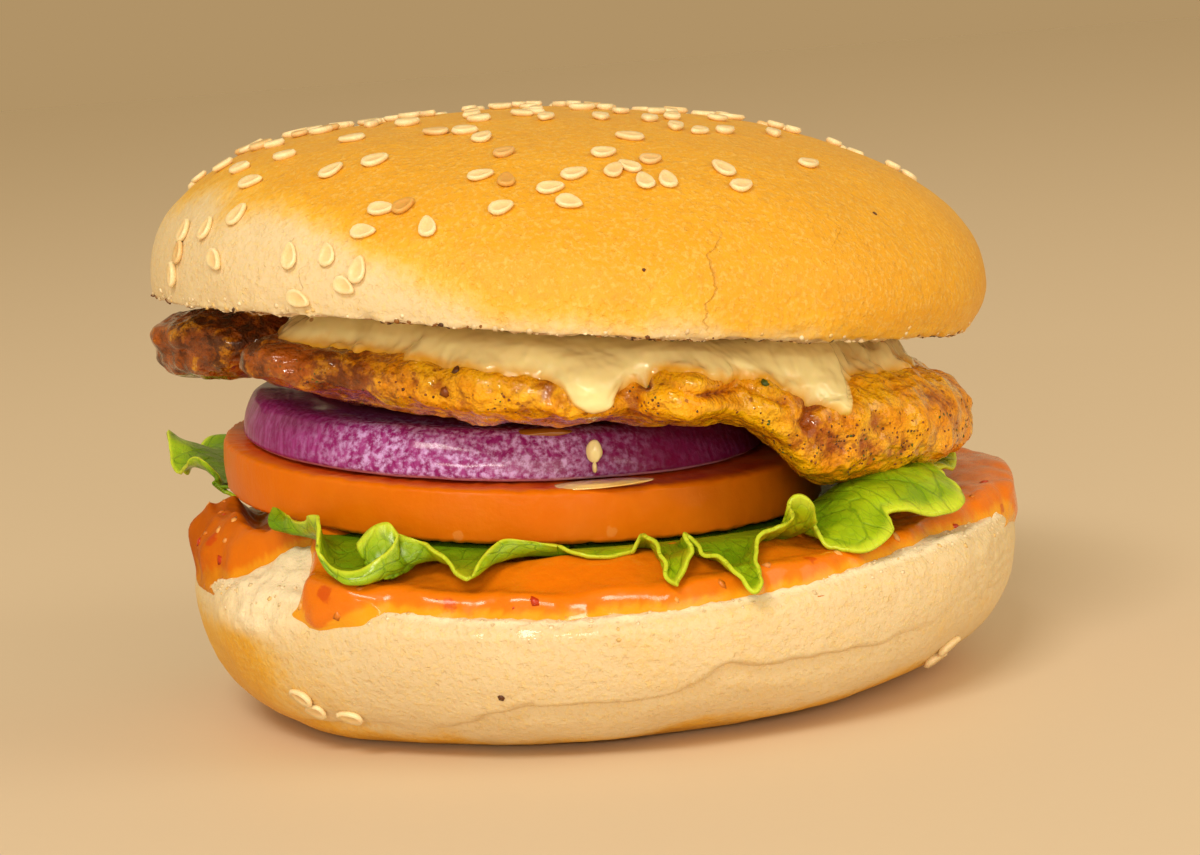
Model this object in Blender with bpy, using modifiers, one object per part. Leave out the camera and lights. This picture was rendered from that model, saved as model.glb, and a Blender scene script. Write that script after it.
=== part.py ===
"""Chicken burger in a sesame bun, as a stack of closed solids.

From the table up: the bun's heel, burger sauce, five lettuce leaves, a tomato
slice, a red onion slice, the chicken fillet with a torn side piece, cream sauce
and the bun's crown. The functions work in millimetres, and a mesh is scaled to
metres when it is made. +X runs to the right, -Y faces the front, +Z is up, and
the origin is the centre of the heel's flat base. Angles are degrees about Z.
"""
import math

import bmesh
import bpy
from mathutils import Vector, noise

MM = 0.001
GAP = 0.35                      # air between neighbours

HEEL_RADIUS = 53.0
HEEL_BASE_RADIUS = 32.0
HEEL_FULL_LEFT = 7.0            # the base spreads further at the left
HEEL_WIDEST_Z = 16.0
HEEL_RIM_ROUND = 1.8
HEEL_CUT_Z = 18.0               # the cut at its middle
HEEL_CUT_RISE = 2.4             # and how much it rises to the left and right
HEEL_CUT_SPAN = 30.0

SAUCE_REACH = 50.6
SAUCE_THICK = 1.3
SAUCE_BEAD = 1.1                # extra height near the edge
SAUCE_PILE = 4.4                # extra height under the slices at the left and front
SAUCE_LEAN = 0.55               # how much of its thickness stands out past the rim
SAUCE_LIP = 0.585               # thickness where it ends

TOMATO_CENTRE = (-10.0, 0.0)
TOMATO_RADIUS = 38.0
TOMATO_THICK = 6.4
STACK_Z = 25.8                  # underside of the tomato at its centre
STACK_LEAN_X = -0.093           # the slices lean down to the right
STACK_LEAN_Y = 0.03             # and a little to the front

ONION_CENTRE = (-12.0, -1.0)
ONION_RADIUS = 33.4
ONION_THICK = 5.8
ONION_TAPER = 2.0               # its upper face is that much smaller in radius

CROWN_CENTRE = (-1.9, 0.0)
CROWN_RADIUS = 53.0
CROWN_WIDEST_Z = 51.4
CROWN_WIDEST_LEAN = -0.0585
CROWN_RISE = 22.4
CROWN_SIDE = 0.9                # least height of the side under its widest level
CROWN_UNDERCUT = 0.078          # how fast the side draws in below its widest level
CROWN_CUT_Z = 48.27
CROWN_CUT_LEAN_X = -0.134
CROWN_CUT_LEAN_Y = -0.03
CROWN_CUT_CAP = 53.5            # the cut levels off above this at the left

CREAM_THICK = 1.8               # between the fillet and the crown
CREAM_SKIN = 1.1                # over the fillet's side
CREAM_GAP = 0.5                 # under the cream, where two curved skins face each other
FILLET_BLUNT = 3.0              # power of the rounded edge's superellipse
FILLET_RELIEF = 0.3
FILLET_SIDES = 50
FRONT_CROWDING = 28.0           # degrees
LEAF_THICK = 0.6
LEAF_CORE = 13.0                # where the leaves start, inside the stack

SIDE_PIECE_CENTRE = (-43.2, 1.5, 47.4)
SIDE_PIECE_SIZE = (12.6, 11.5, 4.4)


def hump(angle, centre, width):
    """1 at centre and fading over width, round the circle."""
    away = (angle - centre + 180.0) % 360.0 - 180.0
    return math.exp(-(away / width) ** 2)


def ease(low, high, value):
    """0 below low, 1 above high, smooth between."""
    share = min(1.0, max(0.0, (value - low) / (high - low)))
    return share * share * (3.0 - 2.0 * share)


def mix(first, second, share):
    return first + (second - first) * share


def polar(angle, radius, centre=(0.0, 0.0)):
    turn = math.radians(angle)
    return centre[0] + radius * math.cos(turn), centre[1] + radius * math.sin(turn)


def bearing(x, y):
    return math.degrees(math.atan2(y, x)) % 360.0


# ---------------------------------------------------------------- levels

def heel_cut(x):
    return HEEL_CUT_Z + HEEL_CUT_RISE * (1.0 - math.exp(-(x / HEEL_CUT_SPAN) ** 2))


def stack_level(x, y, height=0.0):
    """A level of the leaning slices, height above the tomato's underside."""
    lean = STACK_LEAN_X * (x - TOMATO_CENTRE[0]) + STACK_LEAN_Y * y
    return STACK_Z + lean + height


def onion_top(x, y):
    return stack_level(x, y, TOMATO_THICK + GAP + ONION_THICK)


def crown_cut(x, y):
    level = CROWN_CUT_Z + CROWN_CUT_LEAN_X * x + CROWN_CUT_LEAN_Y * y
    return min(level, CROWN_CUT_CAP) + 1.0 - math.exp(-max(0.0, level - CROWN_CUT_CAP))


def crown_widest(x, y):
    level = CROWN_WIDEST_Z + CROWN_WIDEST_LEAN * (x - CROWN_CENTRE[0])
    return max(level, crown_cut(x, y) + CROWN_SIDE)


# ---------------------------------------------------------------- making

def finish(name, shape, colour, roughness, collection):
    """One named object with its own material, from a closed bmesh in millimetres."""
    bmesh.ops.scale(shape, vec=(MM, MM, MM), verts=shape.verts)
    mesh = bpy.data.meshes.new(name)
    shape.to_mesh(mesh)
    shape.free()
    mesh.shade_smooth()
    material = bpy.data.materials.new(name)
    material.use_nodes = True
    shader = material.node_tree.nodes["Principled BSDF"]
    shader.inputs["Base Color"].default_value = (*colour, 1.0)
    shader.inputs["Roughness"].default_value = roughness
    shader.inputs["Metallic"].default_value = 0.0
    mesh.materials.append(material)
    part = bpy.data.objects.new(name, mesh)
    collection.objects.link(part)
    return part


def skin(place, rings, segments):
    """A sphere whose rings, counted from the bottom pole up, move to place(angle, ring)."""
    shape = bmesh.new()
    bmesh.ops.create_uvsphere(shape, u_segments=segments, v_segments=rings, radius=1.0)
    for vertex in shape.verts:
        rise = math.acos(min(1.0, max(-1.0, -vertex.co.z))) / math.pi
        vertex.co = Vector(place(bearing(vertex.co.x, vertex.co.y), round(rise * rings)))
    bmesh.ops.triangulate(shape, faces=shape.faces)
    return shape


# ---------------------------------------------------------------- bun

def heel_section(base):
    """(radius, height, measured from the cut) from the base's middle to the cut's middle."""
    side_steps = 6
    section = [(0.0, 0.0, False), (0.55 * base, 0.0, False)]
    for step in range(side_steps + 1):
        turn = math.pi / 2.0 * step / side_steps
        radius = mix(base, HEEL_RADIUS, math.sin(turn))
        section.append((radius, HEEL_WIDEST_Z * (1.0 - math.cos(turn)), False))
    for turn in (0.0, 45.0, 90.0):
        out, up = polar(turn, HEEL_RIM_ROUND)
        section.append((HEEL_RADIUS - HEEL_RIM_ROUND + out, up - HEEL_RIM_ROUND, True))
    for share in (0.66, 0.33, 0.0):
        section.append((share * HEEL_RADIUS, 0.0, True))
    return section


def bottom_bun():
    def place(angle, ring):
        base = HEEL_BASE_RADIUS + HEEL_FULL_LEFT * hump(angle, 200.0, 45.0)
        radius, height, from_cut = heel_section(base)[ring]
        x, y = polar(angle, radius)
        return x, y, height + (heel_cut(x) if from_cut else 0.0)

    return skin(place, len(heel_section(HEEL_BASE_RADIUS)) - 1, 48)


def crown_point(angle, ring, under_steps, side_steps, dome_steps):
    """The crown from the cut's middle (ring 0) round its edge and up to the apex."""
    widest_x, widest_y = polar(angle, CROWN_RADIUS, CROWN_CENTRE)
    drop = crown_widest(widest_x, widest_y) - crown_cut(widest_x, widest_y)
    cut_radius = CROWN_RADIUS - CROWN_UNDERCUT * drop ** 2 - 0.6
    if ring <= under_steps:
        x, y = polar(angle, cut_radius * ring / under_steps, CROWN_CENTRE)
        return x, y, crown_cut(x, y)
    if ring <= under_steps + side_steps:
        share = (ring - under_steps) / side_steps
        fall = drop * (1.0 - share)
        radius = CROWN_RADIUS - CROWN_UNDERCUT * fall ** 2
        x, y = polar(angle, radius, CROWN_CENTRE)
        return x, y, crown_widest(x, y) - fall
    turn = math.pi / 2.0 * (ring - under_steps - side_steps) / dome_steps
    power = 2.0 / (2.20 - 0.16 * math.cos(math.radians(angle)))
    radius = CROWN_RADIUS * max(0.0, math.cos(turn)) ** power
    x, y = polar(angle, radius, CROWN_CENTRE)
    return x, y, crown_widest(x, y) + CROWN_RISE * math.sin(turn) ** power


def top_bun():
    steps = (3, 3, 9)
    return skin(lambda angle, ring: crown_point(angle, ring, *steps), sum(steps), 40)


# ---------------------------------------------------------------- burger sauce

def sauce_reach(angle):
    """How far the sauce runs from the heel's middle, counted over its rim."""
    reach = SAUCE_REACH + 0.8 * math.sin(math.radians(5.0 * angle + 40.0))
    reach += 3.2 * hump(angle, 186.0, 16.0)       # blob that leans over the left rim
    reach -= 11.0 * hump(angle, 215.0, 10.0)      # bare crumb at the left front
    reach += 1.7 * hump(angle, 234.0, 8.0)        # drip beside it
    reach -= 2.0 * hump(angle, 318.0, 18.0)       # thin stretch at the right front
    reach += 4.6 * hump(angle, 358.0, 14.0)       # run over the right rim
    return reach


def sauce_thickness(angle, radius):
    x, y = polar(angle, radius)
    thick = SAUCE_THICK + SAUCE_BEAD * ease(38.0, 47.0, radius)
    piled = max(ease(12.0, 40.0, -x), 0.8 * hump(angle, 245.0, 30.0))
    thick += SAUCE_PILE * piled * (1.0 - ease(40.0, 47.0, radius))
    thick += 7.2 * hump(angle, 189.0, 15.0) * ease(44.0, 48.5, radius)
    thick += 1.8 * hump(angle, 24.0, 24.0) * ease(36.0, 46.0, radius)
    thick -= 0.9 * hump(angle, 316.0, 18.0) * ease(38.0, 47.0, radius)
    room = stack_level(x, y, -3.0 * GAP - 1.5 * LEAF_THICK) - heel_cut(x)
    past_tomato = math.hypot(x - TOMATO_CENTRE[0], y) - TOMATO_RADIUS
    return min(thick, room + 12.0 * ease(1.0, 6.0, past_tomato))


def heel_skin(angle, reach):
    """Point on the heel and the way out of it, reach from the cut's middle over the rim."""
    level = HEEL_RADIUS - HEEL_RIM_ROUND
    past = max(0.0, reach - level) / HEEL_RIM_ROUND
    turn = min(math.pi / 2.0, past)
    down = max(0.0, past - turn) * HEEL_RIM_ROUND
    radius = min(reach, level) + HEEL_RIM_ROUND * math.sin(turn)
    rim_drop = HEEL_RIM_ROUND * (1.0 - math.cos(turn)) + down
    return radius, heel_cut(polar(angle, min(reach, level))[0]) - rim_drop, turn


def burger_sauce():
    shares = (0.0, 0.45, 0.75, 0.92)
    edge_steps = 3
    half = len(shares) + edge_steps

    def place(angle, ring):
        reach = sauce_reach(angle)
        flat = min(reach - 1.2, HEEL_RADIUS - HEEL_RIM_ROUND)
        step = half - abs(ring - half)
        if step < len(shares):
            path = shares[step] * flat
        else:
            path = mix(flat, reach, (step - len(shares)) / edge_steps)
        share = path / reach
        radius, height, turn = heel_skin(angle, path)
        full = sauce_thickness(angle, path) * math.sqrt(1.0 - share ** 12)
        if ring < half:
            full = 0.0
        elif ring == half:
            full = SAUCE_LIP
        x, y = polar(angle, radius + (GAP + SAUCE_LEAN * full) * math.sin(turn))
        return x, y, height + (GAP + full) * math.cos(turn)

    return skin(place, 2 * half, 48)


def sauce_top(x, y):
    angle = bearing(x, y)
    radius = math.hypot(x, y)
    share = min(1.0, radius / sauce_reach(angle))
    full = sauce_thickness(angle, radius) * math.sqrt(1.0 - share ** 12)
    return heel_cut(x) + GAP + max(SAUCE_LIP, full)


# ---------------------------------------------------------------- slices

def slice_point(angle, ring, centre, radius, thick, base, taper=0.0, bulge=0.5, corner=1.0):
    """A thick slice: two faces, rounded corners and a slightly swollen side."""
    stations = [(0.0, 0.0), (0.55, 0.0), (1.0, 0.0), (1.0, 0.3), (1.0, 0.7), (1.0, 1.0),
                (0.55, 1.0), (0.0, 1.0)]
    share, rise = stations[ring]
    edge = radius + 0.4 * math.sin(math.radians(3.0 * angle + 50.0)) - taper * rise
    if share == 1.0:
        edge += bulge * math.sin(math.pi * rise) - (corner if rise in (0.0, 1.0) else 0.0)
    x, y = polar(angle, share * edge, centre)
    return x, y, stack_level(x, y, base + rise * thick)


def tomato_slice():
    def place(angle, ring):
        return slice_point(angle, ring, TOMATO_CENTRE, TOMATO_RADIUS, TOMATO_THICK, 0.0)
    return skin(place, 7, 40)


def red_onion():
    base = TOMATO_THICK + GAP

    def place(angle, ring):
        return slice_point(angle, ring, ONION_CENTRE, ONION_RADIUS, ONION_THICK, base, ONION_TAPER)
    return skin(place, 7, 36)


# ---------------------------------------------------------------- chicken

def crowd_front(angle):
    """The columns of the chicken and the cream stand closer at the front than at the back."""
    return (angle - FRONT_CROWDING * math.sin(math.radians(angle - 270.0))) % 360.0


def fillet_reach(angle):
    reach = 42.5
    reach += 2.6 * hump(angle, 262.0, 34.0)       # front
    reach += 8.5 * hump(angle, 214.0, 12.0)       # front left corner
    reach -= 15.5 * hump(angle, 179.0, 21.0)      # room for the side piece
    reach += 5.6 * hump(angle, 344.0, 30.0)       # right lobe
    reach += 2.4 * hump(angle, 284.0, 6.0)        # rolled fold
    reach -= 1.4 * (hump(angle, 275.0, 3.0) + hump(angle, 293.5, 3.5))
    return reach


def fillet_under(x, y):
    """The underside: on the onion, hanging past it at the right, lifted at the left."""
    away = math.hypot(x - ONION_CENTRE[0], y - ONION_CENTRE[1])
    past_tomato = math.hypot(x - TOMATO_CENTRE[0], y) - TOMATO_RADIUS
    hang = 5.6 * ease(ONION_RADIUS + 2.0, ONION_RADIUS + 7.0, away) * ease(15.0, 25.0, x)
    hang += 3.8 * ease(1.0, 6.0, past_tomato) * ease(19.0, 27.0, x)
    lift = 3.2 * ease(16.0, 44.0, -x) * ease(20.0, 36.0, away)
    arch = 1.6 * math.exp(-((x - 12.0) / 3.5) ** 2) * ease(-34.0, -42.0, y)
    return onion_top(x, y) + GAP - hang + lift + arch


def fillet_top(x, y):
    return crown_cut(x, y) - 2.0 * GAP - CREAM_THICK


def fillet_section(angle, turn):
    """Point of the fillet's section at turn degrees above (+) or below (-) its rim."""
    radius = fillet_reach(angle) * max(0.0, math.cos(math.radians(turn))) ** (2.0 / FILLET_BLUNT)
    height = abs(math.sin(math.radians(turn))) ** (2.0 / FILLET_BLUNT)
    x, y = polar(angle, radius)
    under, over = fillet_under(x, y), fillet_top(x, y)
    relief = FILLET_RELIEF * (noise.noise(Vector((x, y, turn / 9.0)) / 7.0) - 0.5)
    if turn > 60.0 or turn < -60.0:
        relief = 0.0
    middle = mix(under, over, 0.5)
    z = middle + math.copysign(height, turn) * (over - middle)
    x, y = polar(angle, radius + relief)
    return x, y, z


def fillet_floor(x, y):
    """Height of the fillet's lower skin over a point, or a great height beyond it."""
    share = math.hypot(x, y) / (fillet_reach(bearing(x, y)) + FILLET_RELIEF)
    if share >= 1.0:
        return 1000.0
    under, over = fillet_under(x, y), fillet_top(x, y)
    deep = (1.0 - share ** FILLET_BLUNT) ** (1.0 / FILLET_BLUNT)
    return mix(under, over, 0.5 - 0.5 * deep)


def chicken_fillet():
    shares = (0.0, 0.3, 0.52, 0.68, 0.82, 0.92, 0.98, 1.0)
    half = len(shares) - 1

    def place(angle, ring):
        share = shares[half - abs(ring - half)]
        turn = math.degrees(math.acos(share ** (FILLET_BLUNT / 2.0)))
        return fillet_section(crowd_front(angle), math.copysign(turn, ring - half))

    return skin(place, 2 * half, FILLET_SIDES)


def side_piece():
    rings = 8

    def place(angle, ring):
        turn = math.radians(mix(-90.0, 90.0, ring / rings))
        out = Vector((math.cos(turn) ** 0.8 * math.cos(math.radians(angle)),
                      math.cos(turn) ** 0.8 * math.sin(math.radians(angle)),
                      math.copysign(abs(math.sin(turn)) ** 0.8, turn)))
        lump = 1.0 + 0.16 * noise.noise(out * 1.9 + Vector((4.0, 1.0, 2.0)))
        x, y, z = (centre + size * lump * way for centre, size, way
                   in zip(SIDE_PIECE_CENTRE, SIDE_PIECE_SIZE, out))
        return x, y, z

    return skin(place, rings, 20)


# ---------------------------------------------------------------- cream sauce

def cream_end(angle):
    """Where the cream ends on the fillet, in degrees above its rim."""
    end = 27.0 + 4.0 * math.sin(math.radians(7.0 * angle))
    end -= 36.0 * hump(angle, 270.5, 6.0)         # run down the front
    end -= 10.0 * hump(angle, 258.0, 10.0)
    end -= 10.0 * hump(angle, 290.0, 12.0)        # wider band at the right
    end -= 26.0 * hump(angle, 312.0, 4.5)         # narrow drip beside it
    end += 16.0 * hump(angle, 346.0, 20.0)
    return end


def cream_sauce():
    levels = (90.0, 66.0, 48.0, 34.0, 22.0, 12.0, 2.0, -8.0)
    half = len(levels)

    def place(column, ring):
        angle = crowd_front(column)
        end = cream_end(angle)
        step = half - abs(ring - half)
        turn = end if step == half else max(levels[step], end + 1.5 * (half - step))
        share = (90.0 - turn) / (90.0 - end)
        x, y, z = fillet_section(angle, turn)
        reach = fillet_reach(angle)
        depth = 0.5 * (fillet_top(x, y) - fillet_under(x, y))
        power = FILLET_BLUNT - 1.0
        flat = math.cos(math.radians(turn)) ** (2.0 * power / FILLET_BLUNT) / reach
        steep = abs(math.sin(math.radians(turn))) ** (2.0 * power / FILLET_BLUNT) / depth
        way_out = Vector((flat, math.copysign(steep, turn))).normalized()
        full = 0.0
        if ring == half:
            full = 0.4 * CREAM_SKIN
        elif ring > half:
            full = CREAM_SKIN * math.sqrt(1.0 - share ** 8)
        out = CREAM_GAP + full
        x, y = polar(angle, math.hypot(x, y) + out * way_out.x)
        z += out * way_out.y
        if ring > half:
            fill = crown_cut(x, y) - GAP
            z = max(z, mix(z, fill, ease(end, end + 12.0, turn) * ease(22.0, 42.0, turn)))
        return x, y, min(z, crown_cut(x, y) - GAP)

    return skin(place, 2 * half, FILLET_SIDES)


# ---------------------------------------------------------------- lettuce

def tomato_edge(angle):
    """Distance from the heel's axis to the tomato's edge."""
    turn = math.radians(angle)
    centre = TOMATO_CENTRE[0]
    return centre * math.cos(turn) + math.sqrt(TOMATO_RADIUS ** 2 - (centre * math.sin(turn)) ** 2)


class Leaf:
    """A leaf from inside the stack out to a frilled edge.

    It spans the angles from start to end, in columns of so many degrees. Past the
    tomato each line of the leaf is an arc: length, slope at the tomato and bend
    (degrees over the whole arc). The slope waves by ruffle degrees. Tips are
    (angle, width, extra length, extra slope, extra bend).
    """

    def __init__(self, name, column, start, end, length, slope, bend, ruffle, waves, tips):
        self.name, self.column, self.start, self.end = name, column, start, end
        self.length, self.slope, self.bend = length, slope, bend
        self.ruffle, self.waves, self.tips = ruffle, waves, tips

    def edge(self, angle):
        length, slope, bend = self.length, self.slope, self.bend
        for centre, width, longer, steeper, rounder in self.tips:
            near = hump(angle, centre, width)
            length += longer * near
            slope += steeper * near
            bend += rounder * near
        wave = math.sin(math.radians(self.waves * (angle - self.start)))
        return length, slope + self.ruffle * wave, bend

    def point(self, along, out):
        """along runs 0..1 round the burger, out -1..0 in the stack and 0..1 past the tomato."""
        angle = mix(self.start, self.end, along)
        root = tomato_edge(angle) + 1.6
        if out <= 0.0:
            x, y = polar(angle, mix(root, LEAF_CORE, -out))
            return x, y, stack_level(x, y, -GAP - LEAF_THICK)
        length, slope, bend = self.edge(angle)
        taper = mix(0.2, 1.0, math.sin(math.pi * min(1.0, max(0.0, along))) ** 0.35)
        steps = 8
        radius, rise = root, 0.0
        for step in range(steps):
            turn = math.radians(slope + bend * out * (step + 0.5) / steps)
            radius += length * taper * out / steps * math.cos(turn)
            rise += length * taper * out / steps * math.sin(turn)
        x, y = polar(angle, radius)
        level = stack_level(*polar(angle, root), -GAP - LEAF_THICK)
        floor = mix(GAP, 2.0 * GAP, min(1.0, 3.0 * out)) + 0.5 * LEAF_THICK
        floor += sauce_top(x, y) if math.hypot(x, y) < HEEL_RADIUS + 2.0 else heel_cut(x) - 4.0
        ceiling = fillet_floor(x, y) - GAP - LEAF_THICK
        return x, y, max(min(level + rise, ceiling), floor)


LEAVES = (
    Leaf("lettuce_front_left", 3.4, 218.0, 262.5, 5.0, -22.0, 0.0, 5.0, 16.0,
         [(222.0, 5.0, 3.0, 10.0, 110.0), (249.5, 4.0, 4.0, -4.0, 0.0)]),
    Leaf("lettuce_front", 3.1, 265.0, 304.5, 5.0, -14.0, -6.0, 6.0, 30.0,
         [(278.5, 3.2, 9.0, 0.0, 10.0), (289.5, 3.6, 14.0, 6.0, -16.0),
          (300.0, 3.6, 2.0, 50.0, -90.0)]),
    Leaf("lettuce_right", 3.6, 307.0, 375.0, 13.0, 8.0, -30.0, 6.0, 15.0,
         [(311.0, 6.0, 7.0, -4.0, -6.0), (326.0, 6.0, 11.0, 24.0, -46.0),
          (339.0, 7.0, 2.0, 28.0, -30.0)]),
    Leaf("lettuce_back", 5.0, 22.0, 128.0, 11.0, 4.0, -16.0, 12.0, 12.0,
         [(50.0, 9.0, 2.0, 10.0, 0.0), (96.0, 10.0, 4.0, 6.0, 0.0)]),
    Leaf("lettuce_left", 4.4, 131.0, 172.0, 8.0, 24.0, 20.0, 8.0, 16.0,
         [(164.0, 7.0, 3.0, 10.0, 10.0)]),
)


def lettuce(leaf):
    rows = 6
    columns = round((leaf.end - leaf.start) / leaf.column)
    shape = bmesh.new()
    bmesh.ops.create_grid(shape, x_segments=columns, y_segments=rows, size=0.5)
    inner = 1.0 / rows
    for vertex in shape.verts:
        along, out = vertex.co.x + 0.5, vertex.co.y + 0.5
        out = (out - inner) / (1.0 - inner) if out > inner else (out - inner) / inner
        vertex.co = Vector(leaf.point(along, out))
    return shape


def add_thickness(part, thick):
    wall = part.modifiers.new("Leaf", "SOLIDIFY")
    wall.thickness = thick * MM
    wall.offset = 0.0
    wall.use_even_offset = False
    return part


# ---------------------------------------------------------------- build

BUN_COLOUR = (0.80, 0.50, 0.20)
SAUCE_COLOUR = (0.72, 0.20, 0.03)
TOMATO_COLOUR = (0.78, 0.19, 0.02)
ONION_COLOUR = (0.38, 0.10, 0.30)
CHICKEN_COLOUR = (0.66, 0.31, 0.05)
CREAM_COLOUR = (0.86, 0.66, 0.40)
LEAF_COLOUR = (0.25, 0.38, 0.05)


def clear_scene():
    for item in list(bpy.data.objects):
        bpy.data.objects.remove(item, do_unlink=True)


def main():
    clear_scene()
    burger = bpy.data.collections.new("chicken_burger")
    bpy.context.scene.collection.children.link(burger)
    finish("bottom_bun", bottom_bun(), BUN_COLOUR, 0.7, burger)
    finish("burger_sauce", burger_sauce(), SAUCE_COLOUR, 0.25, burger)
    for leaf in LEAVES:
        part = finish(leaf.name, lettuce(leaf), LEAF_COLOUR, 0.4, burger)
        add_thickness(part, LEAF_THICK)
    finish("tomato_slice", tomato_slice(), TOMATO_COLOUR, 0.3, burger)
    finish("red_onion", red_onion(), ONION_COLOUR, 0.35, burger)
    finish("chicken_fillet", chicken_fillet(), CHICKEN_COLOUR, 0.4, burger)
    finish("chicken_side_piece", side_piece(), CHICKEN_COLOUR, 0.4, burger)
    finish("cream_sauce", cream_sauce(), CREAM_COLOUR, 0.25, burger)
    finish("top_bun", top_bun(), BUN_COLOUR, 0.6, burger)


main()
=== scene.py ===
"""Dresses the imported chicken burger: crust, crumb, seeds, sauces, salad and grilled chicken.

The surface functions work in millimetres and a mesh is scaled to metres when it is
made. +X runs to the right, -Y faces the front, +Z is up, and angles are degrees
about Z. Every piece rides on the body "root".
"""
import itertools
import math

import bmesh
import bpy
import numpy as np
from mathutils import Matrix, Vector


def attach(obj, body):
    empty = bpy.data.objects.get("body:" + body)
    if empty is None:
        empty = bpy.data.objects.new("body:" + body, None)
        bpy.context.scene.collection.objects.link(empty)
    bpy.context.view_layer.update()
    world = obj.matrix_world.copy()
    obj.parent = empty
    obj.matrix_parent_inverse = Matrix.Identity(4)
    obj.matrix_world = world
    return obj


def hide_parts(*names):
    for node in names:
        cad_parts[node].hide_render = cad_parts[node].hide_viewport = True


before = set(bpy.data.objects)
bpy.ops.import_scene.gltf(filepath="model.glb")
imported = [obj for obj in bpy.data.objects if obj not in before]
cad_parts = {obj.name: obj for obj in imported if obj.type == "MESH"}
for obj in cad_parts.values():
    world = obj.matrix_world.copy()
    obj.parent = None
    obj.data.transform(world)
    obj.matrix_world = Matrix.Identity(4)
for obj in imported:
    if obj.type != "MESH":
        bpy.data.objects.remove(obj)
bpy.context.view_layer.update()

bl_info = {
    "name": "Chicken Burger",
    "version": (1, 0, 0),
    "blender": (4, 5, 0),
    "location": "View3D > Sidebar > Burger",
    "description": "Builds a chicken burger in a sesame bun around its packed solids",
    "category": "Add Mesh",
}

MM = 0.001
BODY = "root"


# ------------------------------ shared curves

def hump(angle, centre, width):
    """1 at centre and fading over width, round the circle."""
    away = (angle - centre + 180.0) % 360.0 - 180.0
    return np.exp(-(away / width) ** 2)


def bell(value, centre, width):
    """1 at centre and fading over width."""
    return np.exp(-((value - centre) / width) ** 2)


def ease(low, high, value):
    """0 below low, 1 above high, smooth between."""
    share = np.clip((value - low) / (high - low), 0.0, 1.0)
    return share * share * (3.0 - 2.0 * share)


def mix(first, second, share):
    return first + (second - first) * share


def swollen(angle, base, swells):
    """base with each swell (bearing, width, by) added to it round the circle."""
    total = base + 0.0 * angle
    for centre, width, by in swells:
        total = total + by * hump(angle, centre, width)
    return total


def sine(degrees):
    return np.sin(np.radians(degrees))


def cosine(degrees):
    return np.cos(np.radians(degrees))


def polar(angle, radius, centre=(0.0, 0.0)):
    return centre[0] + radius * cosine(angle), centre[1] + radius * sine(angle)


def bearing(x, y):
    return np.degrees(np.arctan2(y, x)) % 360.0


def rows(*parts):
    """Points of shape (..., 3) from three arrays of the same shape."""
    return np.stack(np.broadcast_arrays(*parts), axis=-1)


def parts(spots):
    """The x, y and z of points of shape (..., 3)."""
    return np.moveaxis(spots, -1, 0)


def turns_of(columns):
    """Bearings of evenly spaced columns round the burger."""
    return np.arange(columns) * 360.0 / columns


# ------------------------------ noise

DRAW = np.random.default_rng(7)
SLOPES = DRAW.normal(size=(256, 3))
SLOPES /= np.linalg.norm(SLOPES, axis=1, keepdims=True)
JITTER = DRAW.random(size=(256, 3))


def pick(cell, seed):
    """A number from 0 to 255 for each whole-number cell."""
    mixed = cell[..., 0] * 73856093 ^ cell[..., 1] * 19349663 ^ cell[..., 2] * 83492791
    mixed = (mixed + seed * 7919) * 1274126177
    return (mixed ^ (mixed >> 15)) >> 7 & 255


def lumps(points, size, seed=0):
    """Smooth noise from about -1 to 1 with lumps of the given size."""
    spot = points / size + 0.37 * seed
    cell = np.floor(spot).astype(np.int64)
    inside = spot - cell
    fade = inside ** 3 * (inside * (6.0 * inside - 15.0) + 10.0)
    total = np.zeros(points.shape[:-1])
    for corner in itertools.product((0, 1), repeat=3):
        slope = SLOPES[pick(cell + np.array(corner), seed)]
        weight = np.prod(np.where(corner, fade, 1.0 - fade), axis=-1)
        total += weight * (slope * (inside - np.array(corner))).sum(-1)
    return 1.6 * total


def layered(points, size, layers=3, seed=0, keep=0.5):
    """Lumps of several sizes on each other, each half the size of the last."""
    total = np.zeros(points.shape[:-1])
    for layer in range(layers):
        total += keep ** layer * lumps(points, size / 2.0 ** layer, seed + layer)
    return total


def ridged(points, size, layers=3, seed=0):
    """Sharp crests between smooth hollows, from about 0 to 1."""
    total = np.zeros(points.shape[:-1])
    for layer in range(layers):
        total += 0.5 ** layer * (1.0 - np.abs(lumps(points, size / 2.0 ** layer, seed + layer)))
    return total / 1.75


def cells(points, size, seed=0):
    """Distances to the nearest and second nearest of scattered centres, in sizes."""
    spot = points / size + 0.61 * seed
    cell = np.floor(spot).astype(np.int64)
    first = np.full(points.shape[:-1], 9.0)
    second = np.full(points.shape[:-1], 9.0)
    for step in itertools.product((-1, 0, 1), repeat=3):
        near = cell + np.array(step)
        away = np.linalg.norm(near + JITTER[pick(near, seed)] - spot, axis=-1)
        second = np.minimum(second, np.maximum(first, away))
        first = np.minimum(first, away)
    return first, second


# ------------------------------ meshes

def ways_out(spots, closed=True):
    """Unit normals of rows of points that run round and then up a surface."""
    if closed:
        across = np.roll(spots, -1, 1) - np.roll(spots, 1, 1)
    else:
        across = np.gradient(spots, axis=1)
    along = np.gradient(spots, axis=0)
    out = np.cross(across, along)
    out /= np.maximum(np.linalg.norm(out, axis=-1, keepdims=True), 1e-9)
    if closed:
        for pole, beside in ((0, 1), (-1, -2)):
            mean = out[beside].mean(0)
            out[pole] = mean / max(1e-9, np.linalg.norm(mean))
    return out


def raised(spots, height, closed=True):
    return spots + ways_out(spots, closed) * height[..., None]


def softened(spots, first, last, times):
    """Rounds the rows from first to last by averaging each with its neighbours."""
    for _ in range(times):
        middle = 0.5 * spots[first:last] + 0.25 * (spots[first - 1:last - 1] + spots[first + 1:last + 1])
        spots[first:last] = middle
    return spots


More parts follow.
